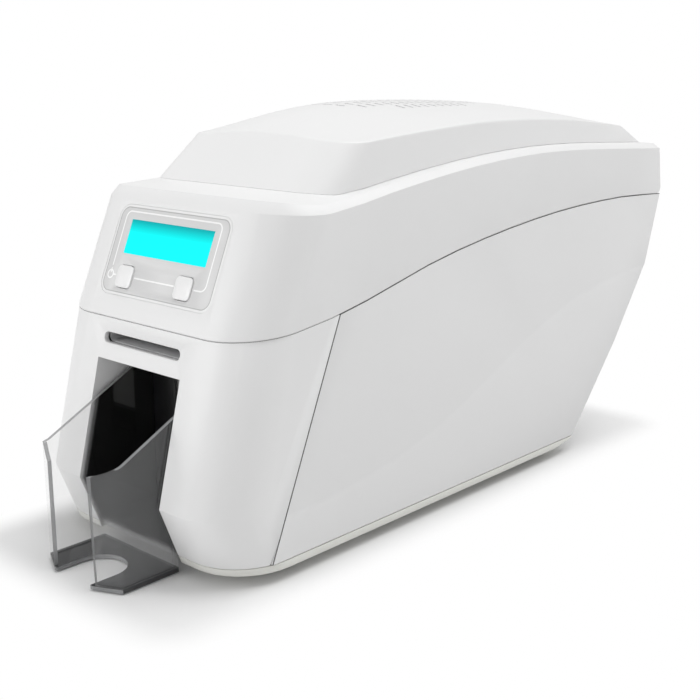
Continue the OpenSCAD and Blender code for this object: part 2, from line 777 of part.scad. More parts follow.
// The printhead slides on two posts with a collar at the lower end
head_x = 33;
head_w = 58;
head_gap = 1.7;
head_z = path_z + head_gap;
bracket_z = 128;
bracket_t = 6;
bracket_over = 4;
bracket_w = 18;
tab_w = 44;
tab_t = 2;
tab_h = 9;
post_r = 2;
post_drop = 3.5;
collar_r = 2.8;
collar_h = 2;
fan_y = 236;
fan_size = 40;
fan_t = 10;
module head_carrier() color(steel) centred() {
    difference() {
        block([-carrier_half, carrier_depths[0], carrier_z],
            [carrier_half, carrier_depths[1], carrier_z + carrier_t]);
        translate([0, fan_y, carrier_z - over]) cylinder(r = fan_size / 2 - 2, h = carrier_t + 2 * over);
    }
    both_sides() for (y = carrier_post_depths)
        translate([carrier_half - carrier_post_in, y, carrier_z + carrier_t - over / 2])
            cylinder(r = carrier_post_r,
                h = through(rim_line, y) - wall - carrier_post_gap - carrier_z - carrier_t + over / 2);
    both_sides() translate([head_x, platen_y, bracket_z - post_drop]) {
        cylinder(r = post_r, h = carrier_z - bracket_z + post_drop + over / 2);
        cylinder(r = collar_r, h = collar_h);
    }
    block([-ear_x - ear_t, latch_y - tongue_in, carrier_z],
        [ear_x + ear_t, carrier_depths[0] + over, carrier_z + carrier_t]);
    both_sides() block([ear_x, latch_y - ear_l / 2, latch_z - ear_drop],
        [ear_x + ear_t, latch_y + ear_l / 2, carrier_z + over]);
    rod_x(latch_y, latch_z, latch_pin_r, -ear_x - pin_over, 2 * (ear_x + pin_over));
}
coil_slices = 12;
module coil(r, wire, turns, height)
    linear_extrude(height, twist = -360 * turns, slices = coil_slices * turns, $fn = 6)
        translate([r, 0]) circle(wire);
spring_wire = 0.5;
spring_r = 3.4;
spring_turns = 6;
spring_gap = 0.2;
module head_springs() color(steel) centred() both_sides()
    translate([head_x, platen_y, bracket_z + bracket_t + spring_gap])
        coil(spring_r, spring_wire, spring_turns, carrier_z - bracket_z - bracket_t - 2 * spring_gap);
module head_bracket() color("silver") centred() difference() {
    union() {
        block([-head_x - bracket_over, platen_y - bracket_w / 2, bracket_z],
            [head_x + bracket_over, platen_y + bracket_w / 2, bracket_z + bracket_t]);
        block([-tab_w / 2, platen_y - bracket_w / 2, bracket_z + bracket_t - over],
            [tab_w / 2, platen_y - bracket_w / 2 + tab_t, bracket_z + bracket_t + tab_h]);
    }
    both_sides() translate([head_x, platen_y, bracket_z - over])
        cylinder(r = post_r + run, h = bracket_t + 2 * over);
}
fin_count = 7;
fin_t = 1.2;
sink_l = 20;
sink_t = 3;
element_l = 10;
element_t = 1.2;
module heat_sink() color("lightgray") centred() {
    block([-head_w / 2, platen_y - sink_l / 2, head_z + element_t],
        [head_w / 2, platen_y + sink_l / 2, head_z + element_t + sink_t]);
    for (k = [0:fin_count - 1]) {
        y = platen_y - sink_l / 2 + k * (sink_l - fin_t) / (fin_count - 1);
        block([-head_w / 2, y, head_z + element_t + sink_t - over], [head_w / 2, y + fin_t, bracket_z]);
    }
}
module head_element() color("sienna") centred()
    block([-head_w / 2, platen_y - element_l / 2, head_z],
        [head_w / 2, platen_y + element_l / 2, head_z + element_t]);

fan_r = fan_size / 2 - 1.5;
fan_corner_r = 3;
fan_hub_r = 8;
fan_axle_r = 1.5;
fan_axle_l = 8;
strut_w = 2;
strut_t = 1.4;
rotor_lift = 1.8;
rotor_h = fan_t - 2.4;
blade_gap = 0.9;
blade_count = 7;
blade_t = 1;
blade_w = 8;
blade_lean = 40;
module fan_frame() color(black) centred() translate([0, fan_y, carrier_z + carrier_t]) {
    difference() {
        linear_extrude(fan_t) rounded(fan_size, fan_size, fan_corner_r);
        translate([0, 0, -over]) cylinder(r = fan_r, h = fan_t + 2 * over);
    }
    intersection() {
        union() {
            for (a = [45, 135]) rotate([0, 0, a]) translate([-fan_size / 2, -strut_w / 2, 0])
                cube([fan_size, strut_w, strut_t]);
            cylinder(r = fan_hub_r, h = strut_t);
        }
        cylinder(r = fan_r + 0.2, h = fan_t);
    }
    cylinder(r = fan_axle_r, h = fan_axle_l);
}
rotor_z = carrier_z + carrier_t + rotor_lift;
module fan_rotor() color(dark) centred() translate([0, fan_y, rotor_z]) difference() {
    union() {
        cylinder(r = fan_hub_r, h = rotor_h);
        intersection() {
            cylinder(r = fan_r - blade_gap, h = rotor_h);
            for (k = [0:blade_count - 1]) rotate([0, 0, k * 360 / blade_count])
                translate([fan_hub_r / 2, 0, rotor_h / 2]) rotate([blade_lean, 0, 0])
                    translate([0, -blade_w / 2, -blade_t / 2]) cube([fan_size / 2, blade_w, blade_t]);
        }
    }
    translate([0, 0, -over]) cylinder(r = fan_axle_r + run, h = fan_axle_l - rotor_lift + over + 0.2);
}

clean_y = 78;
clean_r = 5;
clean_half = 28;
clean_z = path_z + pinch_gap + clean_r;
tie_front = [62, 114.2];
tie_low = [150, 24];
tie_back = 30;
tie_back_z = 40;
tie_heel = 46;
tie_heel_z = 90;
tie_places = [tie_front, tie_low,
    [rear_roller_y + tie_back, tie_back_z], [rear_roller_y + tie_heel, tie_heel_z]];
shaft_places = [[front_roller_y, roller_z], [middle_roller_y, roller_z], [platen_y, roller_z],
    [rear_roller_y, roller_z], [pick_y, pick_z], [front_roller_y, pinch_z], [middle_roller_y, pinch_z],
    [rear_roller_y, pinch_z], [clean_y, clean_z]];
hub_r = 4;
// The latch hooks under the strike rod
strike_in = 9.2;
strike_y = latch_y - strike_in;
strike_z = 128.7;
gear_play = 0.15;
motor_d = gear_m * (pinion_teeth + platen_teeth) / 2 + gear_play;
motor_angle = -60;
motor_y = platen_y + motor_d * cos(motor_angle);
motor_z = roller_z + motor_d * sin(motor_angle);
ribbon_d = gear_m * (ribbon_pinion_teeth + takeup_teeth) / 2 + gear_play;
ribbon_angle = 200;
ribbon_motor_y = takeup_y + ribbon_d * cos(ribbon_angle);
ribbon_motor_z = spool_z + ribbon_d * sin(ribbon_angle);
// Outline of a chassis plate: a deck over the card path, and a tower for each spool and the strike rod
plate_gap = 3;
plate_front_y = tunnel_l + plate_gap;
plate_up = 10.4;
plate_tail = 60;
plate_top_z = path_z + plate_up;
plate_rear_y = rear_roller_y + plate_tail;
plate_toe = 38;
plate_heel_z = 60;
tower_up = 8;
tower_z = spool_z + tower_up;
tower_out = 20;
tower_in = 16;
tower_run = 14;
takeup_in = 22;
takeup_run = 10;
strike_up = 5.3;
strike_run = 7;
// Open slots above the spool hubs, and the windows low in the plate
hub_slot_h = 30;
window_depths = [64, 214];
window_z = 26;
window_l = 40;
window_h = 28;
module chassis_outline() difference() {
    polygon([
        [plate_front_y, floor_z],
        [plate_rear_y - plate_toe, floor_z],
        [plate_rear_y, plate_heel_z],
        [plate_rear_y, plate_top_z - 4],
        [supply_y + tower_out + tower_run, plate_top_z - 1],
        [supply_y + tower_out, tower_z],
        [supply_y - tower_in, tower_z],
        [supply_y - tower_in - tower_run, plate_top_z],
        [takeup_y + tower_out + takeup_run, plate_top_z],
        [takeup_y + tower_out, tower_z],
        [takeup_y - takeup_in, tower_z],
        [takeup_y - takeup_in - takeup_run, spool_z - takeup_run],
        [strike_y + strike_run, strike_z + strike_up],
        [strike_y - strike_run, strike_z + strike_up],
        [strike_y - strike_run - 4, plate_top_z],
        [plate_front_y, plate_top_z]
    ]);
    for (p = shaft_places) translate(p) circle(shaft_r + run);
    for (y = [supply_y, takeup_y]) translate([y, spool_z]) {
        circle(hub_r + run);
        translate([-hub_r - run, 0]) square([2 * (hub_r + run), hub_slot_h]);
    }
    for (y = window_depths) translate([y, window_z]) square([window_l, window_h]);
}
module chassis_plate_right() color(steel) centred() along_x(plate_x, plate_t) chassis_outline();
motor_hole_r = 8;
module chassis_plate_left() color(steel) centred() along_x(-plate_x - plate_t, plate_t) difference() {
    chassis_outline();
    translate([motor_y, motor_z]) circle(motor_hole_r);
}
module tie_rods() color(steel) centred() {
    for (p = tie_places) rod_x(p[0], p[1], tie_r, -plate_x, chassis_w);
    rod_x(strike_y, strike_z, latch_pin_r, -plate_x, chassis_w);
}
guide_t = 1;
guide_gap = 0.1;
guide_drop = 0.5;
guide_rise = 0.8;
guide_half = plate_x - guide_gap;
guide_rear_y = plate_rear_y - 2;
// Half width and clearance of the roller windows in the guides, and of the ramp from the magazine
window_half = 32;
window_gap = 1;
ramp_half = 28;
ramp_y = 129;
ramp_z = stack_top_z - 3.1;
ramp_flat = 47;
ramp_run = 30;
ramp_rise = 15;
ramp_end = 6;
shelf_y = 140;
shelf_l = 10;
card_mouth = [180, 214];
module card_guide_lower() color(dark) centred() {
    z = path_z - guide_drop - guide_t;
    difference() {
        block([-guide_half, tunnel_l + guide_drop, z], [guide_half, guide_rear_y, z + guide_t]);
        for (y = [front_roller_y, middle_roller_y, platen_y, rear_roller_y])
            block([-window_half, y - roller_r - window_gap, z - over],
                [window_half, y + roller_r + window_gap, z + guide_t + over]);
        block([-ramp_half, card_mouth[0], z - over], [ramp_half, card_mouth[1], z + guide_t + over]);
    }
    across(ramp_half) polygon([
        [ramp_y, ramp_z],
        [ramp_y + ramp_flat, ramp_z],
        [ramp_y + ramp_flat + ramp_run, ramp_z + ramp_rise],
        [ramp_y + ramp_flat + ramp_run + ramp_end, ramp_z + ramp_rise],
        [ramp_y + ramp_flat + ramp_run + ramp_end, ramp_z + ramp_rise - guide_t],
        [ramp_y + ramp_flat + ramp_run + 0.4, ramp_z + ramp_rise - guide_t],
        [ramp_y + ramp_flat + 0.4, ramp_z - guide_t],
        [ramp_y, ramp_z - guide_t]
    ]);
    block([-guide_half, shelf_y, ramp_z - guide_t], [guide_half, shelf_y + shelf_l, ramp_z]);
}
guide_low_y = 56;
guide_mid_y = 124;
guide_back_y = 252;
module card_guide_upper() color(dark) centred() {
    z = path_z + pinch_gap + guide_rise;
    difference() {
        union() {
            block([-guide_half, guide_low_y, z], [guide_half, guide_mid_y, z + guide_t]);
            block([-guide_half, guide_back_y, z], [guide_half, guide_rear_y, z + guide_t]);
        }
        block([-clean_half - 2, clean_y - clean_r - window_gap, z - over],
            [clean_half + 2, clean_y + clean_r + window_gap, z + guide_t + over]);
    }
}

pulley_r = 5.5;
belt_t = 1;
belt_gap = 0.1;
belt_side = 0.3;
pulley_w = 4;
plate_clear = 0.4;
pulley_x = -plate_x - plate_t - plate_clear - pulley_w;
// How far a driven shaft stands out of the right plate, and a free one out of both
shaft_out = 2;
free_out = 0.3;
rubber_half = 30;
module driven_roller(y) {
    rod_x(y, roller_z, shaft_r, pulley_x - plate_clear, plate_x + plate_t + shaft_out + plate_clear - pulley_x);
    rod_x(y, roller_z, pulley_r, pulley_x, pulley_w);
    rod_x(y, roller_z, roller_r, -rubber_half, 2 * rubber_half);
}
module front_roller() color(dark) centred() driven_roller(front_roller_y);
module middle_roller() color(dark) centred() driven_roller(middle_roller_y);
module rear_roller() color(dark) centred() driven_roller(rear_roller_y);
// Tooth height over and under the pitch circle in modules, and half widths at root and tip in pitches
tooth_out = 0.85;
tooth_in = 1.15;
tooth_root = 0.31;
tooth_tip = 0.1;
// Gear in the plane of depth and height, with a tooth at the given angle
module gear_outline(teeth, phase) {
    pitch_r = gear_m * teeth / 2;
    step = 360 / teeth;
    root = pitch_r - tooth_in * gear_m;
    tip = pitch_r + tooth_out * gear_m;
    polygon([for (k = [0:teeth - 1])
        for (c = [[root, -tooth_root], [tip, -tooth_tip], [tip, tooth_tip], [root, tooth_root]])
        [c[0] * cos(phase + (k + c[1]) * step), c[0] * sin(phase + (k + c[1]) * step)]]);
}
gear_gap = 1;
gear_end = 0.5;
gear_x = pulley_x - gear_gap - gear_w;
module platen_shaft() color(steel) centred() {
    rod_x(platen_y, roller_z, shaft_r, gear_x - gear_end, plate_x + plate_t + shaft_out + gear_end - gear_x);
    rod_x(platen_y, roller_z, pulley_r, pulley_x, pulley_w);
    along_x(gear_x, gear_w) translate([platen_y, roller_z]) gear_outline(platen_teeth, motor_angle);
}
module platen_sleeve() color(black) centred() difference() {
    rod_x(platen_y, roller_z, roller_r, -rubber_half, 2 * rubber_half);
    rod_x(platen_y, roller_z, shaft_r, -rubber_half - over, 2 * (rubber_half + over));
}
// A free shaft with a pair of short tyres
tyre_w = 12;
pinch_x = 18;
pick_x = 16;
module free_shaft(y, z) rod_x(y, z, shaft_r, -plate_x - plate_t - free_out, 2 * (plate_x + plate_t + free_out));
module pinch(y) {
    free_shaft(y, pinch_z);
    for (x = [-pinch_x, pinch_x]) rod_x(y, pinch_z, pinch_r, x - tyre_w / 2, tyre_w);
}
module front_pinch_roller() color(dark) centred() pinch(front_roller_y);
module middle_pinch_roller() color(dark) centred() pinch(middle_roller_y);
module rear_pinch_roller() color(dark) centred() pinch(rear_roller_y);
module cleaning_roller() color("steelblue") centred() {
    free_shaft(clean_y, clean_z);
    rod_x(clean_y, clean_z, clean_r, -clean_half, 2 * clean_half);
}
module pick_shaft() color(steel) centred() free_shaft(pick_y, pick_z);
module pick_sleeve() color(black) centred() for (x = [-pick_x, pick_x]) difference() {
    rod_x(pick_y, pick_z, pick_r, x - tyre_w / 2, tyre_w);
    rod_x(pick_y, pick_z, shaft_r, x - tyre_w / 2 - over, tyre_w + 2 * over);
}
module belt_outline(r) {
    translate([front_roller_y, roller_z]) circle(r);
    translate([rear_roller_y, roller_z]) circle(r);
    translate([front_roller_y, roller_z - r]) square([rear_roller_y - front_roller_y, 2 * r]);
}
belt_x = pulley_x + belt_side;
module drive_belt() color(black) centred() along_x(belt_x, pulley_w - 2 * belt_side) difference() {
    belt_outline(pulley_r + belt_gap + belt_t);
    belt_outline(pulley_r + belt_gap);
}
// The motor's body lies inside the left plate, and its boss passes through it
motor_size = 35;
motor_l = 28;
boss_r = 7;
boss_l = 3;
boss_out = 0.5;
boss_x = plate_x + plate_t + boss_out;
end_play = 0.3;
module drive_motor() color(black) centred() {
    block([-plate_x, motor_y - motor_size / 2, motor_z - motor_size / 2],
        [motor_l - plate_x, motor_y + motor_size / 2, motor_z + motor_size / 2]);
    rod_x(motor_y, motor_z, boss_r, -boss_x, boss_l);
}
module motor_pinion() color("goldenrod") centred() {
    along_x(gear_x, gear_w) translate([motor_y, motor_z])
        gear_outline(pinion_teeth, motor_angle + 180 + 180 / pinion_teeth);
    rod_x(motor_y, motor_z, hub_r, gear_x, -boss_x - end_play - gear_x);
}

// A spool: a tube with two flanges, the film wound on it, and a hub at each end in the plates' slots
hub_l = 3;
tube_r = 8;
tube_half = 34;
spool_flange_t = 2;
spool_flange_out = 3;
module spool(y, roll_r) {
    rod_x(y, spool_z, tube_r, -tube_half, 2 * tube_half);
    rod_x(y, spool_z, roll_r, -film_w / 2, film_w);
    both_sides() {
        rod_x(y, spool_z, roll_r + spool_flange_out, tube_half - spool_flange_t, spool_flange_t);
        rod_x(y, spool_z, hub_r, tube_half - over, plate_x + plate_t + hub_l - tube_half + over);
    }
}
module ribbon_supply_spool() color("dimgray") centred() spool(supply_y, supply_r);
spool_gear_gap = 0.5;
spool_gear_x = plate_x + plate_t + spool_gear_gap;
module ribbon_takeup_spool() color("dimgray") centred() {
    spool(takeup_y, takeup_r);
    along_x(spool_gear_x, gear_w) translate([takeup_y, spool_z]) gear_outline(takeup_teeth, ribbon_angle);
}
pinion_over = 1;
module ribbon_pinion() color("goldenrod") centred() along_x(spool_gear_x, gear_w + pinion_over)
    translate([ribbon_motor_y, ribbon_motor_z])
        gear_outline(ribbon_pinion_teeth, ribbon_angle + 180 + 180 / ribbon_pinion_teeth);
// The ribbon motor hangs on a bent bracket outside the right plate
ribbon_motor_r = 7;
ribbon_motor_l = 20;
arm_back = 14;
arm_y = ribbon_motor_y - arm_back;
arm_t = 3;
arm_low = 11;
arm_high = 8;
arm_side = 4;
arm_reach = 9;
arm_x = plate_x + plate_t + gear_w + 2;
module ribbon_motor() color(black) centred() {
    rod_x(ribbon_motor_y, ribbon_motor_z, ribbon_motor_r, spool_gear_x + gear_w + pinion_over + end_play,
        ribbon_motor_l);
    block([plate_x + plate_t, arm_y, ribbon_motor_z - arm_low],
        [arm_x + arm_side, arm_y + arm_t, ribbon_motor_z + arm_high]);
    block([arm_x, arm_y, ribbon_motor_z - arm_high],
        [arm_x + arm_side, arm_y + arm_reach, ribbon_motor_z + arm_high]);
}
bar_r = 2.5;
bar_up = 5;
bar_z = path_z + bar_up;
bar_front = 16;
bar_back = 17;
front_bar_y = platen_y - bar_front;
back_bar_y = platen_y + bar_back;
module ribbon_guide_bars() color(steel) centred() {
    for (y = [front_bar_y, back_bar_y]) rod_x(y, bar_z, bar_r, -plate_x, chassis_w);
}
// The film runs from the take-up roll under both bars and the printhead to the supply roll
film_gap = 0.3;
film_lip = 0.2;
film_side = 6;
film_touch = 2.2;
film_arc = 6.5;
film_head_gap = 0.5;
film_low = bar_z - bar_r - film_gap - film_t;
film_head_z = head_z - film_t - film_head_gap;
film_path = [
    [takeup_y + takeup_r + film_gap + 2 * film_lip, spool_z],
    [front_bar_y - film_touch, film_low + film_lip],
    [front_bar_y, film_low],
    [platen_y - film_side, film_head_z],
    [platen_y + film_side, film_head_z],
    [back_bar_y, film_low],
    [back_bar_y + film_touch - film_lip, film_low + film_lip],
    [supply_y - film_arc, spool_z - supply_r - film_gap]
];
module film_run(a, b) across(film_w / 2) polygon([a, b, [b[0], b[1] + film_t], [a[0], a[1] + film_t]]);
module ribbon_film() color("purple") centred() {
    for (k = [0:len(film_path) - 2]) film_run(film_path[k], film_path[k + 1]);
}

// The main board lies on two blocks on the chassis plates
board_z = 118.5;
board_half = 56;
board_depths = [262, 360];
screw_x = 50;
screw_in = 6;
screw_depths = [board_depths[0] + screw_in, board_depths[1] - screw_in];
screw_hole_r = 1.6;
screw_r = 1.5;
screw_head_r = 3;
screw_head_h = 1.6;
screw_below = 2;
chip_w = 18;
chip_y = 276;
chip_h = 2;
chip_places = [-36, 0];
can_r = 4;
can_h = 12;
can_y = 284;
can_places = [28, 40];
pad_w = 4;
pad_y = 266;
pad_l = 30;
pad_low = plate_top_z - 1.4;
module main_board() color("darkgreen") centred() {
    difference() {
        block([-board_half, board_depths[0], board_z], [board_half, board_depths[1], board_z + board_t]);
        for (x = [-screw_x, screw_x]) {
            for (y = screw_depths) translate([x, y, board_z - over])
                cylinder(r = screw_hole_r, h = board_t + 2 * over);
        }
    }
    for (x = chip_places) block([x, chip_y, board_z + board_t / 2],
        [x + chip_w, chip_y + chip_w, board_z + board_t + chip_h]);
    for (x = can_places) translate([x, can_y, board_z + board_t / 2])
        cylinder(r = can_r, h = can_h + board_t / 2);
    both_sides() block([plate_x + plate_t / 2 - pad_w / 2, pad_y, pad_low],
        [plate_x + plate_t / 2 + pad_w / 2, pad_y + pad_l, board_z + board_t / 2]);
}
// Each socket is a box on the board with a hole that opens at the back
socket_back_y = 366;
usb_l = 16;
usb_deep = 10;
usb_side = 1.8;
usb_top = 1.5;
net_l = 18;
net_deep = 12;
net_side = 2;
net_top = 2;
module socket(x, w, h, side, top, length, deep) difference() {
    block([x - w / 2 - side, socket_back_y - length, board_z + board_t],
        [x + w / 2 + side, socket_back_y, port_z + h / 2 + top]);
    block([x - w / 2, socket_back_y - deep, port_z - h / 2], [x + w / 2, socket_back_y + over, port_z + h / 2]);
}
module data_sockets() color("gray") centred() {
    socket(usb_x, usb_w, usb_h, usb_side, usb_top, usb_l, usb_deep);
    socket(net_x, net_w, net_h, net_side, net_top, net_l, net_deep);
}
power_foot_l = 14;
power_foot_in = 4;
barrel_l = 6;
power_hole_r = 3.2;
power_deep = 11;
module power_socket() color(black) centred() difference() {
    union() {
        block([power_x - power_r, socket_back_y - power_foot_l, board_z + board_t],
            [power_x + power_r, socket_back_y - power_foot_in, port_z + power_r]);
        translate([power_x, socket_back_y, port_z]) rotate([90, 0, 0]) cylinder(r = power_r, h = barrel_l);
    }
    translate([power_x, socket_back_y + over, port_z]) rotate([90, 0, 0])
        cylinder(r = power_hole_r, h = power_deep + over);
}

// Height of the stacker's side wall at a depth: it climbs from the corner into the opening
stacker_rise_y = 30;
stacker_rise_z = 96;
function stacker_top(y) = stacker_corner_z
    + (y + stacker_out) * (stacker_rise_z - stacker_corner_z) / (stacker_rise_y + stacker_out);
stacker_back_y = magazine_y - 0.3;
// The step where the stacker's floor climbs over the tray's front edge
step_y = -4.2;
step_t = 1.7;
step_z = tray_z + 2;
corner_cut = 3;
corner_drop = 1;
module stacker_side() along_x(stacker_w / 2 - stacker_t, stacker_t) polygon([
    [-stacker_out, stacker_lift],
    [step_y, stacker_lift],
    [step_y + step_t, step_z],
    [stacker_back_y, step_z],
    [stacker_back_y, stacker_top(stacker_back_y)],
    [corner_cut - stacker_out, stacker_top(corner_cut - stacker_out)],
    [-stacker_out, stacker_corner_z - corner_drop]
]);
// A flange leans in from the corner to the finger gap, and its top edge dips to the tip
flange_reach = (stacker_w - finger_gap) / 2;
flange_slant = sqrt(flange_reach * flange_reach + flange_out * flange_out);
flange_top = stacker_corner_z - corner_drop;
flange_tip_in = 1.5;
dip_power = 0.6;
module flange_outline() polygon(concat([[0, 0], [flange_slant - flange_tip_in, 0]],
    [for (t = [0:0.125:1]) [flange_slant - t * flange_slant,
        flange_top - stacker_lift - (flange_top - stacker_tip_z) * pow(1 - t, dip_power)]]));
module stacker_flange() translate([stacker_w / 2, -stacker_out, stacker_lift])
    rotate([0, 0, 180 + atan(flange_out / flange_reach)]) rotate([90, 0, 0])
        linear_extrude(stacker_t) flange_outline();
scoop_y = -28;
scoop_side = 2;
module stacker_floor() translate([0, 0, stacker_lift]) linear_extrude(stacker_t) difference() {
    polygon([[stacker_w / 2, -stacker_out], [finger_gap / 2, stacker_front_y],
        [-finger_gap / 2, stacker_front_y],
        [-stacker_w / 2, -stacker_out], [-stacker_w / 2, step_y], [stacker_w / 2, step_y]]);
    translate([0, scoop_y]) circle(finger_gap / 2 - scoop_side);
    translate([scoop_side - finger_gap / 2, -far]) square([finger_gap - 2 * scoop_side, far + scoop_y]);
}
module output_stacker() color("gray", 0.5) centred() {
    both_sides() stacker_side();
    both_sides() intersection() {
        stacker_flange();
        block([finger_gap / 2, -far, 0], [stacker_w / 2, far, sky]);
    }
    stacker_floor();
    block([-stacker_w / 2, step_y, stacker_lift], [stacker_w / 2, step_y + step_t, step_z + stacker_t]);
    block([-stacker_w / 2, step_y, step_z], [stacker_w / 2, stacker_back_y, step_z + stacker_t]);
}

// The magazine holds a card with a little play all round
card_play = 0.8;
magazine_w = card_w + 2 * (card_play + magazine_t);
magazine_l = card_l + 2 * (card_play + magazine_t);
card_y = magazine_y + magazine_t + card_play;
stack_z = stack_top_z - stack_h;
pusher_t = 2;
pusher_boss_r = 7;
pusher_boss_h = 4;
notch_w = 22;
notch_low = 34;
notch_deep = 5;
exit_z = ramp_z;
module card_magazine() color(black) centred() difference() {
    block([-magazine_w / 2, magazine_y, magazine_z], [magazine_w / 2, magazine_y + magazine_l, magazine_top_z]);
    block([magazine_t - magazine_w / 2, magazine_y + magazine_t, magazine_z + magazine_t],
        [magazine_w / 2 - magazine_t, magazine_y + magazine_l - magazine_t, sky]);
    block([-notch_w / 2, magazine_y - over, magazine_z + notch_low],
        [notch_w / 2, magazine_y + notch_deep, sky]);
    block([-magazine_w, magazine_y + magazine_l - magazine_t - over, exit_z],
        [magazine_w, magazine_y + magazine_l + over, sky]);
}
module card_stack() color("whitesmoke") centred()
    block([-card_w / 2, card_y, stack_z], [card_w / 2, card_y + card_l, stack_top_z]);
module pusher_plate() color(dark) centred() {
    block([-card_w / 2, card_y, stack_z - pusher_t], [card_w / 2, card_y + card_l, stack_z]);
    translate([0, card_y + card_l / 2, stack_z - pusher_t - pusher_boss_h])
        cylinder(r = pusher_boss_r, h = pusher_boss_h);
}
push_r = 9.5;
push_wire = 0.7;
push_turns = 7;
module pusher_spring() color(steel) centred()
    translate([0, card_y + card_l / 2, magazine_z + magazine_t + spring_gap])
        coil(push_r, push_wire, push_turns, stack_z - pusher_t - magazine_z - magazine_t - 2 * spring_gap);

// The latch: two arms with a hook at the lower end, joined by a thumb bar
latch_low = 122;
latch_x = 14;
arm_w = 6;
arm_half = 4;
hook_l = 1;
hook_h = 3;
hook_slope = 1;
arm_waist = 10;
bar_low = 6;
bar_high = 3;
module cover_latch() color(dark) centred() difference() {
    union() {
        both_sides() along_x(latch_x, arm_w) polygon([
            [latch_y - arm_half, latch_z + arm_half],
            [latch_y + arm_half, latch_z + arm_half],
            [latch_y + arm_half, latch_low],
            [latch_y - arm_half - hook_l, latch_low],
            [latch_y - arm_half - hook_l, latch_low + hook_h],
            [latch_y - hook_l, latch_low + hook_h + hook_slope],
            [latch_y - arm_half, latch_z - arm_waist]
        ]);
        block([-latch_x - over, latch_y + hook_l, latch_z - bar_low],
            [latch_x + over, latch_y + arm_half, latch_z + bar_high]);
    }
    rod_x(latch_y, latch_z, latch_pin_r + run, -latch_x - 2 * arm_w, 2 * (latch_x + 2 * arm_w));
}
module board_screws() color(steel) centred() both_sides() {
    for (y = screw_depths) translate([screw_x, y, board_z - screw_below]) {
        cylinder(r = screw_r, h = board_t + screw_below + over / 2);
        translate([0, 0, board_t + screw_below]) cylinder(r = screw_head_r, h = screw_head_h);
    }
}

base_tray();
rubber_feet();
front_bezel();
card_slot_liner();
side_panel_right();
side_panel_left();
rear_panel();
hinge_brackets();
hinge_pins();
cover_shell();
hood();
panel_overlay();
display_window();
display_screen();
display_module();
panel_board();
left_button();
right_button();
head_carrier();
head_springs();
head_bracket();
heat_sink();
head_element();
fan_frame();
fan_rotor();
chassis_plate_right();
chassis_plate_left();
tie_rods();
card_guide_lower();
card_guide_upper();
front_roller();
middle_roller();
rear_roller();
platen_shaft();
platen_sleeve();
front_pinch_roller();
middle_pinch_roller();
rear_pinch_roller();
cleaning_roller();
pick_shaft();
pick_sleeve();
drive_belt();
drive_motor();
motor_pinion();
ribbon_supply_spool();
ribbon_takeup_spool();
ribbon_pinion();
ribbon_motor();
ribbon_guide_bars();
ribbon_film();
main_board();
data_sockets();
power_socket();
output_stacker();
card_magazine();
card_stack();
pusher_plate();
pusher_spring();
cover_latch();
board_screws();
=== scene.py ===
# %% [markdown]
# # A desktop printer for plastic cards
# The printer is an assembly of sixty parts: a casing of white moulded shells, a cover that hinges at
# the back, a card path between two chassis plates, a card magazine and a clear stacker. This notebook
# gives every one of them its finish, rounds the edges of the shells that one sees, and models the hood
# with finer curves. The parts are loaded as solids first, because everything else is placed against
# them.

# %% Load the solids
import json
import math

import bmesh
import bpy
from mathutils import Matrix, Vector
from mathutils.bvhtree import BVHTree


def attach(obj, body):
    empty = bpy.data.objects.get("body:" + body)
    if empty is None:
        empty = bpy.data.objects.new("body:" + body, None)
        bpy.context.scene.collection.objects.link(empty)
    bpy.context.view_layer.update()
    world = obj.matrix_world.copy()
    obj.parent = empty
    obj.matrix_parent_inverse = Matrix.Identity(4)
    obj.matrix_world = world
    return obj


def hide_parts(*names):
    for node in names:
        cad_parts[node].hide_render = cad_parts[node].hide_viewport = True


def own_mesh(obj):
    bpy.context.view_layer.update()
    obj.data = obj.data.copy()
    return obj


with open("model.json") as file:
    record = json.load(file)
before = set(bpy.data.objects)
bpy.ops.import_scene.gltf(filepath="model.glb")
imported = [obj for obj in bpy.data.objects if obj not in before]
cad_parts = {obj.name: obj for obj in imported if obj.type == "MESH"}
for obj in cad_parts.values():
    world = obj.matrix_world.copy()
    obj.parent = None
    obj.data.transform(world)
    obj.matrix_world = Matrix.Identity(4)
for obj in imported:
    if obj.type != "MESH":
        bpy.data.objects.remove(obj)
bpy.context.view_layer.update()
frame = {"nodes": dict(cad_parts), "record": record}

nodes = frame["nodes"]

# %% [markdown]
# ## Millimetres and the machine's own depths
# The sizes below are the casing's own, in millimetres. X runs across the printer, Z up, and depth
# counts from the top edge of the front opening. A helper turns such a place into Blender's metres,
# with the origin under the middle of the machine, at the depth MIDDLE. Keeping one helper for this
# means that each number can be read as a size of the real casing: where the cover's seam crosses the
# front, how far the control face leans back, where the cover ends at the rear, and how thick its wall
# is.

# %% Sizes of the casing
MM = 0.001
MIDDLE = 169.9
REAR = 382.8
WALL = 2.6
SEAM_DEPTH, SEAM_HEIGHT = 6.2, 119.4
LEAN = math.radians(22.9)


def at(x, depth, height):
    return Vector((x * MM, (depth - MIDDLE) * MM, height * MM))


print("front seam at", tuple(round(c, 4) for c in at(0, SEAM_DEPTH, SEAM_HEIGHT)))

# %% [markdown]
# ## The camera
# The printer is seen from its front right corner and a little above. The lens is slightly longer
# than normal, which keeps the long side from shrinking too fast. The camera is turned about Z for
# the side step and tipped about X for the look down, so its horizon stays level.

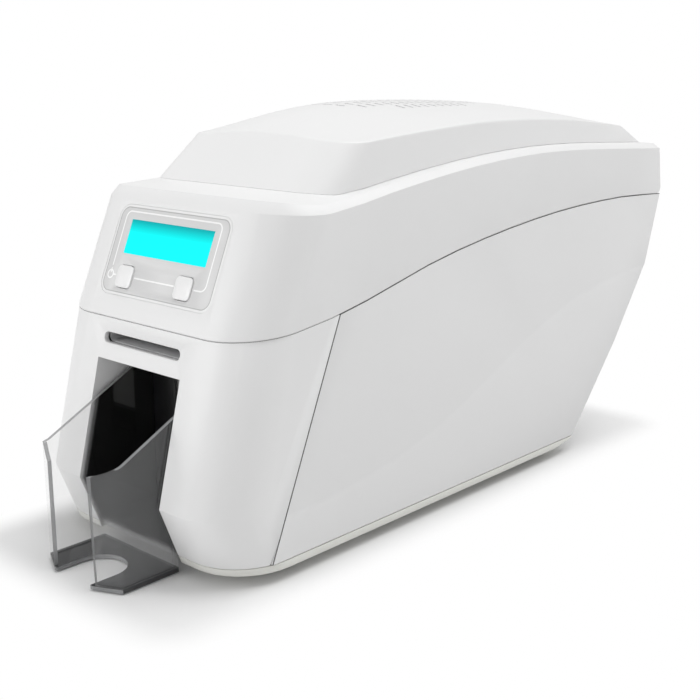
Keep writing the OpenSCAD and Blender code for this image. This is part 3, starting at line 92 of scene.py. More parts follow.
# %% Camera
LENS = 58.39
CAMERA_X, CAMERA_DEPTH, CAMERA_HEIGHT = 441.518, -325.543, 245.004
CAMERA_TIP, CAMERA_TURN = 14.2932, 42.5416
camera_data = bpy.data.cameras.new("camera")
camera_data.lens = LENS
camera_data.sensor_width = 36.0
camera_data.clip_end = 50.0
camera = bpy.data.objects.new("camera", camera_data)
camera.location = at(CAMERA_X, CAMERA_DEPTH, CAMERA_HEIGHT)
camera.rotation_euler = (math.radians(90 - CAMERA_TIP), 0.0, math.radians(CAMERA_TURN))
bpy.context.scene.collection.objects.link(camera)
bpy.context.scene.camera = camera
bpy.context.scene.view_settings.view_transform = "Standard"
print("camera at", tuple(round(c, 3) for c in camera.location))

# %% [markdown]
# ## Shader maths that reads like maths
# A finish is a small tree of nodes, and most of its work is arithmetic on masks. The class Wire
# holds one output socket, and its operators add Math nodes, so a mask is written as an expression.
# The class Finish owns the material: its one method node() adds any other node with its settings
# and inputs, and feed() connects a wire to the surface. Everything is read from the surface's own
# place in the object, so a pattern keeps its size and moves with its piece.

# %% Wire and Finish
class Wire:
    def __init__(self, finish, socket):
        self.finish = finish
        self.socket = socket

    def maths(self, operation, first, second=0.0):
        return self.finish.node("ShaderNodeMath", {"operation": operation}, {0: first, 1: second})

    def __add__(self, other):
        return self.maths("ADD", self, other)

    def __radd__(self, other):
        return self.maths("ADD", other, self)

    def __sub__(self, other):
        return self.maths("SUBTRACT", self, other)

    def __rsub__(self, other):
        return self.maths("SUBTRACT", other, self)

    def __mul__(self, other):
        return self.maths("MULTIPLY", self, other)

    def __rmul__(self, other):
        return self.maths("MULTIPLY", other, self)

    def __truediv__(self, other):
        return self.maths("DIVIDE", self, other)

    def __abs__(self):
        return self.maths("ABSOLUTE", self)

    def smaller(self, other):
        return self.maths("MINIMUM", self, other)

    def larger(self, other):
        return self.maths("MAXIMUM", self, other)

    def below(self, limit, blur):
        """1 where the value is under the limit, 0 above it, with a step as wide as the blur."""
        return self.finish.node("ShaderNodeMapRange", {"clamp": True}, {
            "Value": self, "From Min": limit - blur / 2, "From Max": limit + blur / 2,
            "To Min": 1.0, "To Max": 0.0})


class Finish:
    def __init__(self, name, colour, roughness, **surface):
        self.material = bpy.data.materials.new(name)
        self.material.use_nodes = True
        self.material.diffuse_color = (*colour, 1.0)
        self.tree = self.material.node_tree
        self.shader = self.tree.nodes["Principled BSDF"]
        self.shader.inputs["Base Color"].default_value = (*colour, 1.0)
        self.shader.inputs["Roughness"].default_value = roughness
        for label, value in surface.items():
            self.shader.inputs[label.replace("_", " ")].default_value = value
        self.place = self.node("ShaderNodeTexCoord", {}, {}, "Object")

    def node(self, kind, settings, inputs, output=0):
        made = self.tree.nodes.new(kind)
        for label, value in settings.items():
            if label == "stops":
                ramp = made.color_ramp.elements
                while len(ramp) < len(value):
                    ramp.new(0.5)
                for stop, (position, tone) in zip(ramp, value):
                    stop.position = position
                    stop.color = tone
            else:
                setattr(made, label, value)
        for label, value in inputs.items():
            if isinstance(value, Wire):
                self.tree.links.new(value.socket, made.inputs[label])
            else:
                made.inputs[label].default_value = value
        return Wire(self, made.outputs[output])

    def feed(self, label, wire):
        self.tree.links.new(wire.socket, self.shader.inputs[label])

    def along(self, direction):
        """How far a point of the surface lies along a direction, in millimetres."""
        return self.node("ShaderNodeVectorMath", {"operation": "DOT_PRODUCT"}, {
            0: self.place, 1: tuple(c / MM for c in direction)}, "Value")

    def stretched(self, x, y, z):
        return self.node("ShaderNodeMapping", {}, {"Vector": self.place, "Scale": (x, y, z)})

    def noise(self, scale, detail=2.0, vector=None):
        return self.node("ShaderNodeTexNoise", {}, {
            "Vector": vector or self.place, "Scale": scale, "Detail": detail})

    def blend(self, mask, first, second):
        return self.node("ShaderNodeMix", {"data_type": "RGBA"}, {
            "Factor": mask, 6: (*first, 1.0) if isinstance(first, tuple) else first,
            7: (*second, 1.0) if isinstance(second, tuple) else second}, 2)

    def relief(self, height, depth):
        """Bumps the surface by a height from 0 to 1, of the depth given in millimetres."""
        self.feed("Normal", self.node("ShaderNodeBump", {}, {
            "Height": height, "Strength": 1.0, "Distance": depth * MM}, "Normal"))


def shade(colour, factor):
    return tuple(min(1.0, c * factor) for c in colour)


print("shader helpers ready")

# %% [markdown]
# ## Moulded plastics
# The shells are moulded in a tool with a fine spark-eroded texture. It shows as a grain of about a
# third of a millimetre that only takes the shine down. Cooling leaves a very faint unevenness in
# the tone, some centimetres across, and in the shine, some millimetres across. All three are noise
# on the surface's own place, so they keep their size on every shell. One function makes them all,
# because such plastics differ only in colour, shine and how deep the grain is.

# %% Moulded plastic
CLOUDS, SHINE, GRAIN = 28.0, 140.0, 2600.0
moulded_plastics = []


def moulded(name, colour, roughness, grain=0.012, uneven=0.02):
    finish = Finish(name, colour, roughness)
    finish.feed("Base Color", finish.blend(
        finish.noise(CLOUDS, 3.0), shade(colour, 1 - uneven), shade(colour, 1 + uneven)))
    finish.feed("Roughness", finish.noise(SHINE, 2.0) * 0.08 + (roughness - 0.04))
    finish.relief(finish.noise(GRAIN, 1.0), grain)
    moulded_plastics.append(name)
    return finish


white_plastic = moulded("white satin plastic", (0.83, 0.83, 0.83), 0.42, uneven=0.008)
ivory_plastic = moulded("ivory satin plastic", (0.74, 0.74, 0.70), 0.45, uneven=0.01)
black_plastic = moulded("black satin plastic", (0.018, 0.018, 0.019), 0.4)
grey_plastic = moulded("grey satin plastic", (0.05, 0.05, 0.053), 0.42)
spool_plastic = moulded("smooth spool plastic", (0.035, 0.035, 0.04), 0.22, grain=0.004)
button_plastic = moulded(
    "smooth button plastic", (0.87, 0.87, 0.87), 0.3, grain=0.004, uneven=0.006)
slot_plastic = moulded("light grey slot plastic", (0.50, 0.50, 0.505), 0.4)
print("plastics:", ", ".join(moulded_plastics))

# %% [markdown]
# ## The crease in the long sides
# The side panels are not quite flat: below a line that swings up towards the rear in the shape of a
# long S, the skin stands a quarter of a millimetre proud, and its colour there is painted a shade
# lighter, as painted light that the proud skin catches. The step could be cut into the panel, but a
# step this low is only seen as a change of light, so it goes into the relief.
# The hyperbolic tangent is a ready-made S: flat, then rising, then flat again.

# %% Side plastic
CREASE_MIDDLE, CREASE_REACH = 197.0, 92.0
CREASE_HEIGHT, CREASE_RISE = 71.5, 41.0
side_plastic = Finish("white side plastic with painted crease light", (0.82, 0.82, 0.82), 0.42)
swing = (side_plastic.along((0, 1, 0)) + (MIDDLE - CREASE_MIDDLE)) / CREASE_REACH
crease_line = swing.maths("TANH", swing) * CREASE_RISE + CREASE_HEIGHT
under_crease = (side_plastic.along((0, 0, 1)) - crease_line).below(0.0, 2.4)
# Painted light: below the crease the colour is a shade lighter.
side_plastic.feed("Base Color", side_plastic.blend(
    under_crease, (0.815, 0.815, 0.815), (0.835, 0.835, 0.835)))
side_plastic.feed("Roughness", side_plastic.noise(SHINE, 2.0) * 0.08 + 0.38)
side_plastic.relief(under_crease + side_plastic.noise(GRAIN, 1.0) * 0.05, 0.25)
print("crease from", CREASE_HEIGHT - CREASE_RISE, "to", CREASE_HEIGHT + CREASE_RISE, "mm high")

# %% [markdown]
# ## Metals
# Sheet metal is rolled and zinc plated, so it has soft spangles and fine lines along its length.
# Shafts are ground round, which leaves rings. Fins are extruded aluminium with lines along X, and
# the pinions are cut brass. Each is a stretched noise, which is the simplest way to a brushed look
# that also exports as a texture.

# %% Metals
def drawn_metal(name, colour, roughness, scratch, depth=0.004):
    finish = Finish(name, colour, roughness, Metallic=1.0)
    lines = finish.noise(1.0, 4.0, finish.stretched(*scratch))
    finish.feed("Base Color", finish.blend(lines, shade(colour, 0.86), shade(colour, 1.1)))
    finish.feed("Roughness", lines * 0.2 + (roughness - 0.1))
    finish.relief(lines, depth)
    return finish


ground_steel = drawn_metal("ground steel", (0.62, 0.62, 0.63), 0.26, (2400.0, 60.0, 60.0))
extruded_aluminium = drawn_metal(
    "extruded aluminium", (0.74, 0.74, 0.75), 0.34, (30.0, 900.0, 900.0))
cut_brass = drawn_metal("cut brass", (0.78, 0.58, 0.26), 0.3, (70.0, 1300.0, 1300.0))

zinc_sheet = Finish("zinc plated sheet", (0.60, 0.61, 0.62), 0.36, Metallic=1.0)
spangles = zinc_sheet.node("ShaderNodeTexVoronoi", {}, {
    "Vector": zinc_sheet.place, "Scale": 160.0}, "Color")
spangle_tone = zinc_sheet.node("ShaderNodeSeparateColor", {}, {"Color": spangles}, "Red")
zinc_sheet.feed("Base Color", zinc_sheet.blend(
    spangle_tone, (0.52, 0.53, 0.545), (0.67, 0.68, 0.68)))
zinc_sheet.feed("Roughness", spangle_tone * 0.16 + 0.27)
zinc_sheet.relief(zinc_sheet.noise(1.0, 3.0, zinc_sheet.stretched(700.0, 30.0, 700.0)), 0.004)

motor_enamel = Finish("black enamel", (0.02, 0.02, 0.022), 0.35, Coat_Weight=0.3, Coat_Roughness=0.2)
motor_enamel.relief(motor_enamel.noise(900.0, 2.0), 0.02)
motor_enamel.feed("Roughness", motor_enamel.noise(60.0, 2.0) * 0.15 + 0.28)
for metal in (ground_steel, extruded_aluminium, cut_brass, zinc_sheet, motor_enamel):
    print("metal:", metal.material.name)

# %% [markdown]
# ## Rubber and ceramic
# Rollers are ground rubber with a dull, slightly lighter skin of dust, and the cleaning roller is
# tacky blue silicone with a shine. One noise makes the dust in the colour and in the shine, and a
# finer one the pores. The printhead's ceramic is glazed, which is a coat over a mottled body.

# %% Rubber and ceramic
def rubber(name, colour, roughness, grain):
    finish = Finish(name, colour, roughness)
    dust_and_shade_noise = finish.noise(420.0, 4.0)
    finish.feed("Base Color", finish.blend(dust_and_shade_noise, shade(colour, 0.8), shade(colour, 1.5)))
    finish.feed("Roughness", dust_and_shade_noise * 0.15 + (roughness - 0.05))
    finish.relief(finish.noise(1900.0, 2.0), grain)
    return finish


foot_rubber = rubber("moulded rubber", (0.022, 0.022, 0.022), 0.75, 0.02)
roller_rubber = rubber("ground rubber", (0.035, 0.035, 0.037), 0.62, 0.03)
cleaning_rubber = rubber("tacky silicone", (0.03, 0.12, 0.38), 0.22, 0.004)

glazed_ceramic = Finish(
    "glazed ceramic", (0.42, 0.2, 0.12), 0.2, Coat_Weight=0.6, Coat_Roughness=0.08)
mottle = glazed_ceramic.noise(190.0, 4.0)
glazed_ceramic.feed("Base Color", glazed_ceramic.blend(
    mottle, (0.36, 0.17, 0.1), (0.48, 0.24, 0.15)))
glazed_ceramic.relief(glazed_ceramic.noise(700.0, 2.0), 0.006)
print("rubber:", foot_rubber.material.name, roller_rubber.material.name, cleaning_rubber.material.name)

# %% [markdown]
# ## Circuit boards, ribbon and cards
# A circuit board is green solder mask over copper tracks, and the tracks stand proud by the copper's
# thickness. A brick pattern gives straight tracks with its joints, at no cost in faces. The ribbon
# carries yellow, magenta, blue and black dye panels one after the other, which is a ramp with hard
# stops over the depth. The cards are one block here, so a dark line every 0.76 mm, the thickness of a
# card, parts them: painted shade between two cards. Counted in card thicknesses, a height near a
# whole number is inside a card, and one halfway between two numbers is on the line.

# %% Boards, film and cards
RIBBON_FRONT, RIBBON_LENGTH = -52.0, 92.0
CARD_THICKNESS = 0.76
circuit_board = Finish("green solder mask", (0.02, 0.13, 0.06), 0.3, Coat_Weight=0.4)
tracks = circuit_board.node("ShaderNodeTexBrick", {"offset": 0.37, "squash_frequency": 3}, {
    "Vector": circuit_board.place, "Scale": 105.0, "Mortar Size": 0.035, "Mortar Smooth": 0.2,
    "Brick Width": 0.9, "Row Height": 0.22}, "Fac")
circuit_board.feed("Base Color", circuit_board.blend(
    tracks, (0.015, 0.11, 0.05), (0.05, 0.24, 0.11)))
circuit_board.feed("Roughness", tracks * 0.12 + 0.26)
circuit_board.relief(tracks, 0.04)

ribbon_dye = Finish(
    "dyed ribbon film", (0.3, 0.05, 0.3), 0.18, Coat_Weight=0.5, Coat_Roughness=0.05)
ribbon_way = (ribbon_dye.along((0, 1, 0)) - RIBBON_FRONT) / RIBBON_LENGTH
dye_panels = ribbon_dye.node("ShaderNodeValToRGB", {"stops": (
    (0.0, (0.75, 0.62, 0.03, 1.0)), (0.30, (0.62, 0.03, 0.25, 1.0)),
    (0.55, (0.02, 0.22, 0.55, 1.0)), (0.80, (0.01, 0.01, 0.012, 1.0)))},
    {"Fac": ribbon_way}, "Color")
dye_panels.socket.node.color_ramp.interpolation = "CONSTANT"
ribbon_dye.feed("Base Color", dye_panels)
ribbon_dye.relief(ribbon_dye.noise(1.0, 2.0, ribbon_dye.stretched(14.0, 160.0, 60.0)), 0.08)

card_white = Finish("laminated card", (0.84, 0.84, 0.82), 0.18)
card_count = card_white.along((0, 0, 1)) / CARD_THICKNESS
card_face = abs(card_count - card_count.maths("ROUND", card_count)).below(0.44, 0.05)
# Painted shade: a dark line between two cards.
card_white.feed("Base Color", card_white.blend(
    card_face, (0.42, 0.42, 0.41), (0.84, 0.84, 0.82)))
card_white.relief(card_face, 0.05)
for printed_part in (circuit_board, ribbon_dye, card_white):
    print("finish:", printed_part.material.name)

# %% [markdown]
# ## Clear plastic of the stacker
# The stacker is smoked clear polycarbonate. A refracting shader is the usual way to clear plastic,
# but shadow rays treat it as solid, and thin walls in front of a dark opening turn black. Alpha lets
# the light through plainly: the walls keep about a tenth of it and hardly dim what is behind them.
# The floor is painted dark and nearly opaque, as painted shade for the shadow that it lies in. A
# little roughness from handling marks stops it from looking like optical glass. The rear of the walls
# stands inside the dark opening, and there it is painted nearly black and opaque, as painted shade.
# That part lies behind two planes, the front of the bezel and its chin, so the smaller of the two
# distances says where it begins.

# %% Smoked clear plastic
FLOOR_THICKNESS = 3.2
BEZEL_LEAN, CHIN_LEAN = 20.7 / 81.9, -0.36
CHIN_DEPTH, CHIN_HEIGHT = -14.5, 37.5


def behind_plane(finish, depth, height, lean):
    """Millimetres behind a plane through a depth and height, which leans back as it rises."""
    return finish.along((0, 1, -lean)) + (MIDDLE - depth + height * lean)


smoked_clear = Finish("smoked clear plastic with painted shade", (0.60, 0.605, 0.61), 0.06)
smears = smoked_clear.noise(35.0, 4.0)
smoked_clear.feed("Roughness", smears * 0.06 + 0.03)
over_desk = smoked_clear.along((0, 0, 1))
# Painted shade: the floor is painted dark and nearly opaque.
painted_dark_floor = over_desk.below(FLOOR_THICKNESS, 0.4)
behind_bezel = behind_plane(smoked_clear, SEAM_DEPTH, SEAM_HEIGHT, BEZEL_LEAN).smaller(
    behind_plane(smoked_clear, CHIN_DEPTH, CHIN_HEIGHT, CHIN_LEAN))
# Painted shade: the rear of the walls, behind the bezel, is painted nearly black.
painted_inside_shade = (1 - behind_bezel.below(0.5, 2.0)) * (1 - over_desk.below(10.0, 6.0))
wall_or_floor = smoked_clear.blend(painted_dark_floor, (0.60, 0.605, 0.61), (0.04, 0.041, 0.043))
smoked_clear.feed("Base Color", smoked_clear.blend(painted_inside_shade, wall_or_floor, (0.012, 0.012, 0.012)))
smoked_clear.feed("Alpha", (painted_dark_floor * 0.72 + smears * 0.03 + 0.09).larger(painted_inside_shade * 0.86))
print("bezel is foremost at depth", CHIN_DEPTH, "and height", CHIN_HEIGHT)

# %% [markdown]
# The cut edges of a clear plate look grey, because the light that leaves them has come a long way
# through the smoked plastic. So they get a second finish, nearly opaque. A noise varies its colour and
# opacity: the lighter patches are painted glints, painted highlights, and darker places lie between
# them.

# %% Edges of the clear plastic
cut_edge = Finish("edge of the clear plastic with painted glints", (0.26, 0.263, 0.268), 0.12)
painted_glints = cut_edge.noise(60.0, 3.0)
# Painted highlight: lighter patches in the colour are painted glints.
cut_edge.feed("Base Color", cut_edge.blend(
    painted_glints, (0.17, 0.172, 0.176), (0.40, 0.405, 0.41)))
cut_edge.feed("Alpha", painted_glints * 0.2 + 0.74)
print("edge finish:", cut_edge.material.name)

# %% [markdown]
# ## The display
# The display is a lit cyan plate under a clear window that it is bonded to, so both carry one finish
# that glows; on the clear window that glow is painted light. Along its top the glow is painted darker,
# as painted shade from the frame of its module. The shade is measured along the slope of the control
# face, so the direction UP_SLOPE and the middle of the panel come first, and the printed film uses
# them again.

# %% Display
UP_SLOPE = Vector((0.0, math.sin(LEAN), math.cos(LEAN)))
PANEL_HEIGHT = 151.8
PANEL_DEPTH = SEAM_DEPTH + (PANEL_HEIGHT - SEAM_HEIGHT) * math.tan(LEAN)
PANEL_RISE = at(0, PANEL_DEPTH, PANEL_HEIGHT).dot(UP_SLOPE) / MM
DISPLAY_UP = 7.1
DISPLAY_SHADE_FROM, DISPLAY_SHADE_BLUR = 5.6, 6.0

display_glow = Finish(
    "lit display", (0.0, 0.5, 0.52), 0.3, Emission_Strength=1.0, Specular_IOR_Level=0.05)
display_rise = display_glow.along(UP_SLOPE) - (PANEL_RISE + DISPLAY_UP)
lit = (display_rise + display_glow.noise(30.0, 1.0) * 0.6).below(
    DISPLAY_SHADE_FROM, DISPLAY_SHADE_BLUR)
# Painted shade: the glow is darker along the top of the display.
display_glow.feed("Emission Color", display_glow.blend(lit, (0.0, 0.36, 0.37), (0.0, 0.97, 0.96)))
display_glow.feed("Base Color", display_glow.blend(lit, (0.0, 0.12, 0.13), (0.0, 0.04, 0.045)))
print("panel middle at depth", round(PANEL_DEPTH, 1), "and height", PANEL_HEIGHT)

# %% [markdown]
# ## The printed control panel
# A satin film covers the control face. A white line runs round the display and links the two
# buttons, and a standby sign sits beside the left one. A pale rim runs round the film, painted light
# on its edge, with a fine groove inside it whose dark line is painted shade. All of it is drawn in the
# film's own plane: `across` is the distance from the middle line, and `up` the distance along the
# slope. A rounded frame is the set of points at one distance from a smaller rectangle, so a line along
# it is a thin band of that distance. One helper gives the distance for the printed line and again,
# with other sizes, for the rim and the groove.

# %% Frames on the film
FILM_GREY = (0.68, 0.68, 0.68)
LINE = 0.76
FRAME_LEFT, FRAME_RIGHT, FRAME_TOP, FRAME_BOTTOM, FRAME_ROUND = -37.5, 36.3, 20.1, -13.6, 3.4
FILM_HALF, FILM_RISE, FILM_ROUND = 43.15, 23.65, 6.85
RIM, GROOVE = 1.3, 0.44

panel_film = Finish("printed satin film with painted rim light and groove shade", FILM_GREY, 0.36)
across = panel_film.along((1, 0, 0))
up = panel_film.along(UP_SLOPE) - PANEL_RISE


def length2(first, second):
    square = first * first + second * second
    return square.maths("SQRT", square)


def frame_distance(left, right, top, bottom, corner):
    """Distance of a point of the film from a rounded frame, negative inside it."""
    side = abs(across - (right + left) / 2) - ((right - left) / 2 - corner)
    rise = abs(up - (top + bottom) / 2) - ((top - bottom) / 2 - corner)
    return length2(side.larger(0.0), rise.larger(0.0)) - corner


from_line = frame_distance(FRAME_LEFT, FRAME_RIGHT, FRAME_TOP, FRAME_BOTTOM, FRAME_ROUND)
from_border = frame_distance(-FILM_HALF, FILM_HALF, FILM_RISE, -FILM_RISE, FILM_ROUND)
frame_line = abs(from_line).below(LINE / 2, 0.15)
lit_rim = 1 - from_border.below(-RIM, 0.2)
shaded_groove = abs(from_border + (RIM + 0.2)).below(GROOVE / 2, 0.3)
print("frame line is", FRAME_RIGHT - FRAME_LEFT, "mm wide and", LINE, "mm thick")

# %% [markdown]
# The line stops a little way from each button, and it makes room for the standby sign: a small ring
# with a stroke through its top and a dash that points at the button. The sign is worldwide and
# belongs to no maker. Each gap is a rectangle or a disc whose mask is taken away from the line, and
# each stroke a narrow rectangle whose mask is added with `larger`.

# %% Printed film
BUTTONS, BUTTON_DROP = (-25.3, 20.8), 13.8
BUTTON_GAP_HALF, BUTTON_GAP_RISE = 7.4, 7.0
SIGN_PLACE, SIGN_UP, SIGN_ROOM, SIGN_RING = -37.5, -13.6, 4.6, 2.1


def bar(x, y, half_width, half_height, blur=0.12):
    """1 on a small upright rectangle round a place of the film."""
    return (abs(across - x) - half_width).larger(abs(up - y) - half_height).below(0.0, blur)


printed_line = frame_line
for button in BUTTONS:
    printed_line = printed_line * (
        1 - bar(button, -BUTTON_DROP, BUTTON_GAP_HALF, BUTTON_GAP_RISE, 0.15))
from_sign = length2(across - SIGN_PLACE, up - SIGN_UP)
printed_line = printed_line * (1 - from_sign.below(SIGN_ROOM, 0.15))
ring = abs(from_sign - SIGN_RING).below(0.4, 0.12)
stroke = bar(SIGN_PLACE, SIGN_UP + 2.0, 0.35, 1.3)
dash = bar(SIGN_PLACE + 3.3, SIGN_UP, 0.9, LINE / 2)
drawn = printed_line.larger(ring).larger(stroke).larger(dash)

film_and_print = panel_film.blend(drawn, FILM_GREY, (0.97, 0.97, 0.97))
# Painted light on the pale rim, and painted shade in the dark groove.
film_and_rim = panel_film.blend(lit_rim, film_and_print, (0.86, 0.86, 0.86))
panel_film.feed("Base Color", panel_film.blend(shaded_groove, film_and_rim, (0.42, 0.42, 0.42)))
panel_film.feed("Roughness", panel_film.noise(120.0, 2.0) * 0.06 + 0.33)
panel_film.relief(drawn - shaded_groove * 5.0 + panel_film.noise(1500.0, 1.0) * 0.3, 0.01)
print("film drawn with", len(panel_film.tree.nodes), "nodes")

# %% [markdown]
# ## Finishes on the solids
# The record of the machine names the finish that each part is made in. The table pairs those names
# with the materials above, and every solid gets its material at once, so that nothing in the machine
# is left plain. Three parts get a finish of their own: the side panels with their crease, and the
# throat of the card slot, which is lighter than the black parts around it.

# %% Assign the finishes
finishes = {
    "white_plastic": white_plastic, "ivory_plastic": ivory_plastic, "black_plastic": black_plastic,
    "grey_plastic": grey_plastic, "spool_plastic": spool_plastic, "panel_grey": panel_film,
    "button_plastic": button_plastic, "smoked_clear": smoked_clear, "clear_window": display_glow,
    "motor_black": motor_enamel, "steel": ground_steel, "zinc_sheet": zinc_sheet,
    "aluminium": extruded_aluminium, "ceramic": glazed_ceramic, "brass": cut_brass,
    "rubber": foot_rubber, "roller_rubber": roller_rubber, "cleaning_blue": cleaning_rubber,
    "ribbon_dye": ribbon_dye, "circuit_board": circuit_board, "card_white": card_white,
    "display_glow": display_glow}
own_finish = {
    "side_panel_right": side_plastic, "side_panel_left": side_plastic,
    "card_slot_liner": slot_plastic}
slot_of = {part["node"]: part["material_slot"] for part in frame["record"]["subparts"]}
body_of = {part: body for body, parts in frame["record"]["behaviour"]["bodies"].items()
           for part in parts}
finish_of = {name: own_finish.get(name, finishes[slot_of[name]]) for name in nodes}


def give(piece, finish):
    piece.data.materials.clear()
    piece.data.materials.append(finish.material)


for name, solid in nodes.items():
    give(solid, finish_of[name])
print("finishes given to", len(nodes), "solids")

# %% [markdown]
# ## Painted shade in the seams
# Where two shells meet, the rounded edge falls away into a gap of 0.4 mm and lies in shade, and that
# shade is painted into the edge's colour, darker than the skin, with a noise in its strength. The
# finish below goes on the rounded edges only. It is dark near the two seams and white elsewhere,
# because the same shells also have edges that no other shell meets. The cover's seam is a long curve:
# a colour ramp holds its height at six depths, as greys from 0 to 1, and reads the heights between
# them. The side seam is a straight slanting line.

# %% Edges along the seams
SEAM_LINE = ((6, 119.4), (66, 126.5), (150, 145.2), (240, 157), (320, 160.7), (382.8, 158.8))
SIDE_SEAM_DEPTH, SIDE_SEAM_HEIGHT, SIDE_SEAM_LEAN = 66, 126, math.radians(22.5)
RAMP_TOP = 200

seam_shade_edge = Finish("edge with painted seam shade", (0.83, 0.83, 0.83), 0.5)
edge_depth = seam_shade_edge.along((0, 1, 0)) + MIDDLE
edge_height = seam_shade_edge.along((0, 0, 1))
seam_stops = [(depth / REAR, (*[height / RAMP_TOP] * 3, 1.0)) for depth, height in SEAM_LINE]
cover_seam = seam_shade_edge.node("ShaderNodeValToRGB", {"stops": seam_stops}, {
    "Fac": edge_depth / REAR}, "Color") * RAMP_TOP
side_seam = (edge_height - SIDE_SEAM_HEIGHT) * math.tan(SIDE_SEAM_LEAN) + SIDE_SEAM_DEPTH
by_cover = abs(edge_height - cover_seam).below(3.0, 0.5)
by_side = abs(edge_depth - side_seam).below(2.0, 0.5)
dust_and_shade_noise = seam_shade_edge.noise(90.0, 3.0)
painted_seam_shade = by_cover.larger(by_side) * (dust_and_shade_noise * 0.2 + 0.8)
# Painted shade: near the seams the edge's colour turns dark.
seam_shade_edge.feed("Base Color", seam_shade_edge.blend(painted_seam_shade, (0.83, 0.83, 0.83), (0.07, 0.07, 0.07)))
seam_shade_edge.feed("Roughness", painted_seam_shade * 0.3 + 0.42)
seam_shade_edge.relief(dust_and_shade_noise, 0.01)
print("seam shade drawn with", len(seam_shade_edge.tree.nodes), "nodes")

# %% [markdown]
# ## From a mesh to a piece
# A bmesh is only a workbench. To be seen, it is written to a mesh, which gets an object and a finish.
# To count as part of the machine, the piece rides on a body and hides the solid it stands for. Two
# helpers add the modifiers that finish a piece: a bevel on every edge sharper than an angle, and a
# wall for a skin.

# %% Pieces and modifiers
def ride_for(piece, name):
    """Lets a piece stand for a solid: it rides on the same body and hides the solid."""
    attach(piece, body_of[name])
    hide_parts(name)
    return piece


def finish_mesh(mesh, name, finish):
    for face in mesh.faces:
        face.smooth = True
    data = bpy.data.meshes.new(name)
    mesh.to_mesh(data)
    mesh.free()
    piece = bpy.data.objects.new(name, data)
    bpy.context.scene.collection.objects.link(piece)
    data.materials.append(finish.material)
    return piece


def round_edges(piece, name, width, steps, angle):
    bevel = piece.modifiers.new(name, "BEVEL")
    bevel.width = width * MM
    bevel.segments = steps
    bevel.limit_method = "ANGLE"
    bevel.angle_limit = math.radians(angle)
    return bevel


def thicken(piece, wall):
    """Gives a skin its wall, grown inwards, with closed rims."""
    shell = piece.modifiers.new("wall", "SOLIDIFY")
    shell.thickness = wall * MM
    shell.offset = -1.0
    shell.use_even_offset = True


# %% [markdown]
# ## From solid to moulding
# A moulded part has no knife edges: each outer edge is rounded by a few tenths of a millimetre, and
# that thin round catches the light. The solids have exact shapes but sharp edges, so the visible
# shells are dressed. The loose triangles of a copy are joined and its flat areas merged to single
# faces, so that only true edges are left to find. Then the faces are split into triangles again,
# because a bevel may bridge the notches of a large face that has many corners. The bevel rounds every
# edge sharper than a limit, and hardened normals keep the faces shaded like one smooth skin.
#
# Narrow faces can be marked on the way: a face whose area is small for its length is a cut edge.

# %% Dress a solid
def dress(name, width, steps=2, angle=30.0, flat=0.4, rim=0.0):
    mesh = bmesh.new()
    mesh.from_mesh(nodes[name].data)
    bmesh.ops.remove_doubles(mesh, verts=mesh.verts, dist=0.01 * MM)
    bmesh.ops.dissolve_limit(
        mesh, angle_limit=math.radians(flat), verts=mesh.verts, edges=mesh.edges)
    for face in mesh.faces:
        longest = max((a.co - b.co).length for a in face.verts for b in face.verts)
        face.material_index = 1 if face.calc_area() / longest < rim * MM else 0
    bmesh.ops.triangulate(mesh, faces=mesh.faces)
    piece = finish_mesh(mesh, name.replace("_", "-"), finish_of[name])
    round_edges(piece, "rounded edges", width, steps, angle).harden_normals = True
    return ride_for(piece, name)


def edge_finish(piece, finish):
    """Gives the rounded edges a finish of their own."""
    piece.data.materials.append(finish.material)
    piece.modifiers["rounded edges"].material = 1


print("shells are dressed on the bodies", body_of["front_bezel"], "and", body_of["cover_shell"])

# %% [markdown]
# The widths below are the radii of the real mouldings: wider on the buttons, which fingers touch, and
# a mere break on the thin film of the panel. The cover's edges are wider still and flow over its
# facets, so it has more steps and a lower limit. The bezel and the side panels get the finish with
# painted seam shade on their edges, because the seams run along them.

# %% Shells and buttons
for name, width in {
        "base_tray": 0.5, "rubber_feet": 0.5, "front_bezel": 0.4, "card_slot_liner": 0.3,
        "side_panel_right": 0.4, "side_panel_left": 0.4, "rear_panel": 0.4,
        "card_magazine": 0.3, "left_button": 0.7, "right_button": 0.7,
        "panel_overlay": 0.15}.items():
    shell = dress(name, width)
    if name in ("front_bezel", "side_panel_right", "side_panel_left"):
        edge_finish(shell, seam_shade_edge)
    print(name, len(shell.data.polygons), "faces")
cover = dress("cover_shell", 0.6, 3, angle=18.0)
print("cover_shell", len(cover.data.polygons), "faces")

# %% [markdown]
# ## The clear stacker
# A clear plate looks grey only where it is cut: light that has run along inside it comes out at its
# rims. So the stacker gets two finishes, and each narrow face, a little over the plate's thickness
# wide, takes the one of the edge. Flat shading suits it, because plates are flat, and hardened normals
# would bend the light in its clear faces. The top edges of its two front flanges dip towards the
# gap for the fingers, a curve that is easiest to give by moving the few corners along it.

# %% Stacker
NARROW = 2.4
FLANGE_DEPTH, FLANGE_HEIGHT = -34.0, 50.0
DIP_FROM, DIP_LENGTH, DIP_LOW, DIP_RISE, DIP_CURVE = 16.0, 12.5, 57.6, 5.2, 1.4
stacker = dress("output_stacker", 0.5, rim=NARROW)
edge_finish(stacker, cut_edge)
stacker.modifiers["rounded edges"].harden_normals = False
stacker.data.shade_flat()
for corner in stacker.data.vertices:
    if corner.co.z > FLANGE_HEIGHT * MM and corner.co.y < (FLANGE_DEPTH - MIDDLE) * MM:
        reach = min(1.0, max(0.0, (abs(corner.co.x) / MM - DIP_FROM) / DIP_LENGTH))
        corner.co.z = (DIP_LOW + DIP_RISE * reach ** DIP_CURVE) * MM
rims = sum(face.material_index for face in stacker.data.polygons)
print("stacker:", rims, "edge faces of", len(stacker.data.polygons))

